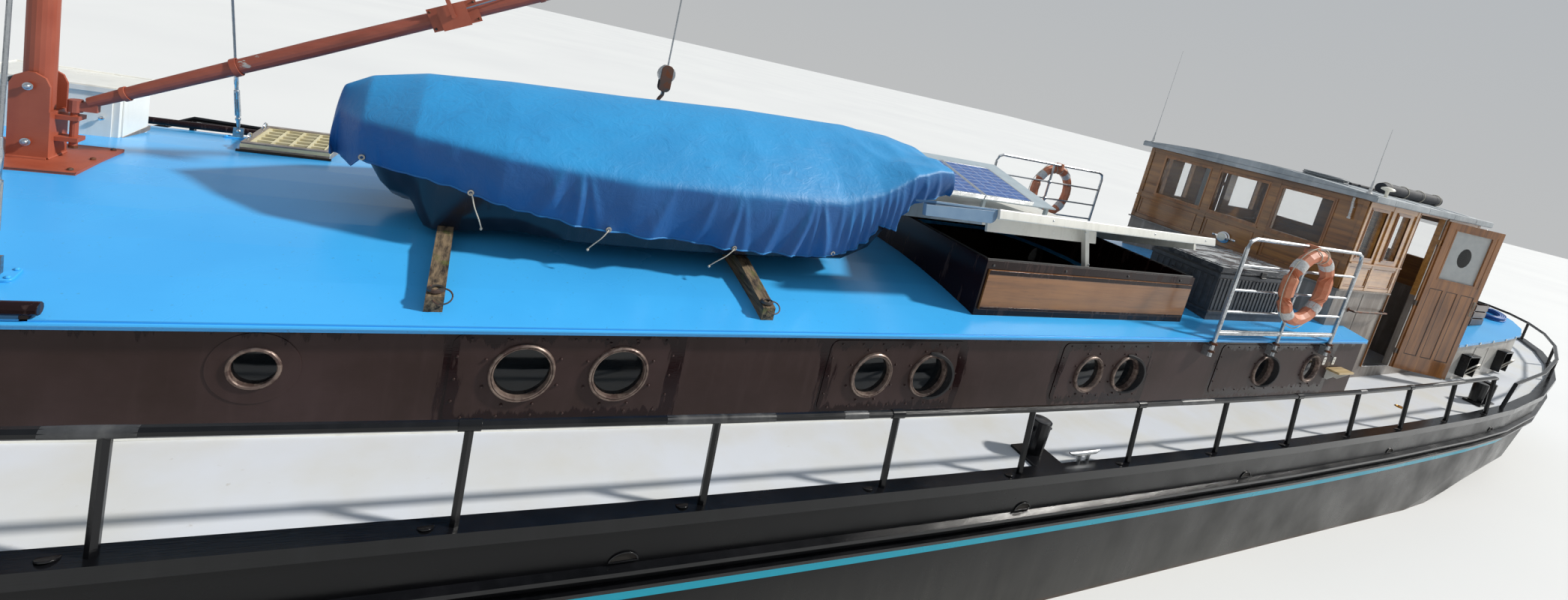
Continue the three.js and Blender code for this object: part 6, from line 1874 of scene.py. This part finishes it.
# The hawse mouths are near-black discs: painted shade in the holes.
piece("hawse_mouths", both([seated(seat, [(64, 0.6), (60, 1.4), (2, 2)], "y", 24)
    for seat in (inside, outside)]), shade_in_openings)
chains += chain((10545, 330, 1850), tuple(inside @ Vector((0, 14, 0))))
SHACKLE_X, SHACKLE_Y = 11180, 1360
chains += chain(tuple(outside @ Vector((0, 30, 0))), (SHACKLE_X, SHACKLE_Y, 1338))
piece("anchor_chains", both(chains), anchor_black)
bow = [(SHACKLE_X + d, SHACKLE_Y, z) for d, z in ((-44, 1322), (-40, 1366), (0, 1392), (40, 1366),
    (44, 1322))]
shackles = [tube(bow, 11, 8), turned([(9, -52), (9, 52)], (SHACKLE_X, SHACKLE_Y, 1318), "x", 10)]
piece("anchor_shackles", both(shackles), anchor_black)
knees = []
for x in (8700, 9500, 10200, 10900):
    seat = touch("bulwark_bow", (x, 200, sheer(x) + 200), (0, 1, 0))
    foot = deck_at(x, seat.translation.y - 40) - seat.translation.z
    top = 170 if x > 9300 else 110
    knees.append(moved(plate([[(0, top), (0, foot), (150, foot), (150, foot + 30), (30, top)]], -5, 5,
        lambda u, v, w: (w, u, v)), seat))
piece("bulwark_knees", both(knees), black_steel, bevel=1)
print("chain links:", len(chains), "a side; knees:", len(knees))

# %% [markdown]
# ## Masthead, helm and chocks
# The mast carries a white all-round lamp and a flat cap, its truck. A helm of this age has turned
# handles outside its rim. The chocks end in iron rings for the lashings, and beside the tabernacle
# stands a short white vent pipe.

# %% Masthead, wheel handles, rings and vent
TRUCK_X, SHELF_Z = 6135, 8972
truck = turned([(34, -24), (44, -16), (46, -2), (30, 2), (14, 6), (14, 30), (4, 34)], (TRUCK_X, 0, 9004), "z",
    24)
shelf = block(TRUCK_X - 120, TRUCK_X - 40, -16, 16, SHELF_Z - 12, SHELF_Z)
piece("mast_truck_and_bands", [truck, shelf], red_oxide, bevel=2)
lamp = turned([(30, 0), (34, 4), (34, 60), (26, 68), (8, 72)], (TRUCK_X - 96, 0, SHELF_Z), "z", 24)
piece("masthead_lamp", [lamp], lamp_lens)
HUB = Matrix.Translation((-4860, 0, 2200))
HANDLE = [(11, 338), (13, 346), (9, 354), (14, 372), (17, 400), (16, 424), (8, 436), (1, 438)]
handles = [seated(HUB @ Matrix.Rotation(-radians(60 * k), 4, "X"), HANDLE, "z", 16) for k in range(6)]
piece("steering_wheel_handles", handles, teak_across, body="helm")
rings = []
for x in (4240, 2500):
    rings.append(turned([(22, 0), (22, 12), (30, 16), (38, 12), (38, 0)], (x, 1352, 1756), "z", 24,
        ring=True))
    rings.append(tube([(x - 30 + 44 * cos(a), 1384 + 30 * sin(a), 1740 - 26 * sin(a))
        for a in np.linspace(0, 2 * pi, 20, endpoint=False)], 4, 8, True))
piece("chock_rings", rings, rusty_iron)
VENT_X, VENT_Y = 6325, -178
foot, top = roof_z(VENT_Y) - 2, roof_z(VENT_Y) + 338
pipe = turned([(48, 0), (48, 8), (27, 10), (27, 340)], (VENT_X, VENT_Y, foot), "z", 24)
piece("deck_vent_pipe", [pipe], locker_white)
vent_cap = turned([(28, 0), (33, 2), (33, 26), (20, 34), (2, 36)], (VENT_X, VENT_Y, top), "z", 24)
piece("deck_vent_cap", [vent_cap], black_steel)
print("mast, helm and chocks dressed")

# %% [markdown]
# ## Floor, light and the last line
# The floor is plain and pale, and it lies at the waterline, so the hull below it shows only
# from under it. The light is a soft studio light from astern and port, as the sun was, and a pale
# dome that fills the shadows.

# %% Floor and light
def floor_paper():
    tree, shader, spot, made = new_finish("pale_seamless_floor", "DADBDA", 0.7)
    cloud = put(tree, "TexNoise", {"Vector": spot, "Scale": 0.15, "Detail": 3.0})
    share = put(tree, "MapRange", {"Value": cloud, "From Min": 0.3, "From Max": 0.7})
    feed(shader, {"Base Color": put(tree, "Mix", {0: share, A: "DCDDDC", B: "D6D7D7"}, MIXED,
        data_type="RGBA")})
    return made


ground = bpy.data.meshes.new("floor")
REACH = 160
ground.from_pydata([(x, y, 0) for x, y in ((-REACH, -REACH), (REACH, -REACH), (REACH, REACH),
    (-REACH, REACH))], [], [(0, 1, 2, 3)])
ground.materials.append(floor_paper())
floor = add_object("floor", ground)

sun = add_object("studio_key", bpy.data.lights.new("studio_key", "SUN"))
sun.data.energy, sun.data.angle = 4.2, radians(4)
sun.data.color = (1.0, 0.965, 0.91)
sun.rotation_mode = "QUATERNION"
KEY_FROM = Vector((-1.0, 0.3, 0.86))
sun.rotation_quaternion = KEY_FROM.to_track_quat("Z", "Y")

dome = bpy.data.worlds.new("pale_studio_dome")
bpy.context.scene.world = dome
dome.use_nodes = True
air = dome.node_tree
way = put(air, "TexCoord", out="Generated")
way = put(air, "Mapping", {"Vector": way, "Rotation": (0, radians(90), 0)})
glow = put(air, "TexGradient", {"Vector": way})
sky = put(air, "Mix", {0: glow, A: "E9EBEC", B: "C5D3E2"}, MIXED, data_type="RGBA")
feed(dome.node_tree.nodes["Background"], {"Color": sky, "Strength": 0.62})
bpy.context.scene.view_settings.view_transform = "Standard"
print("lights set")
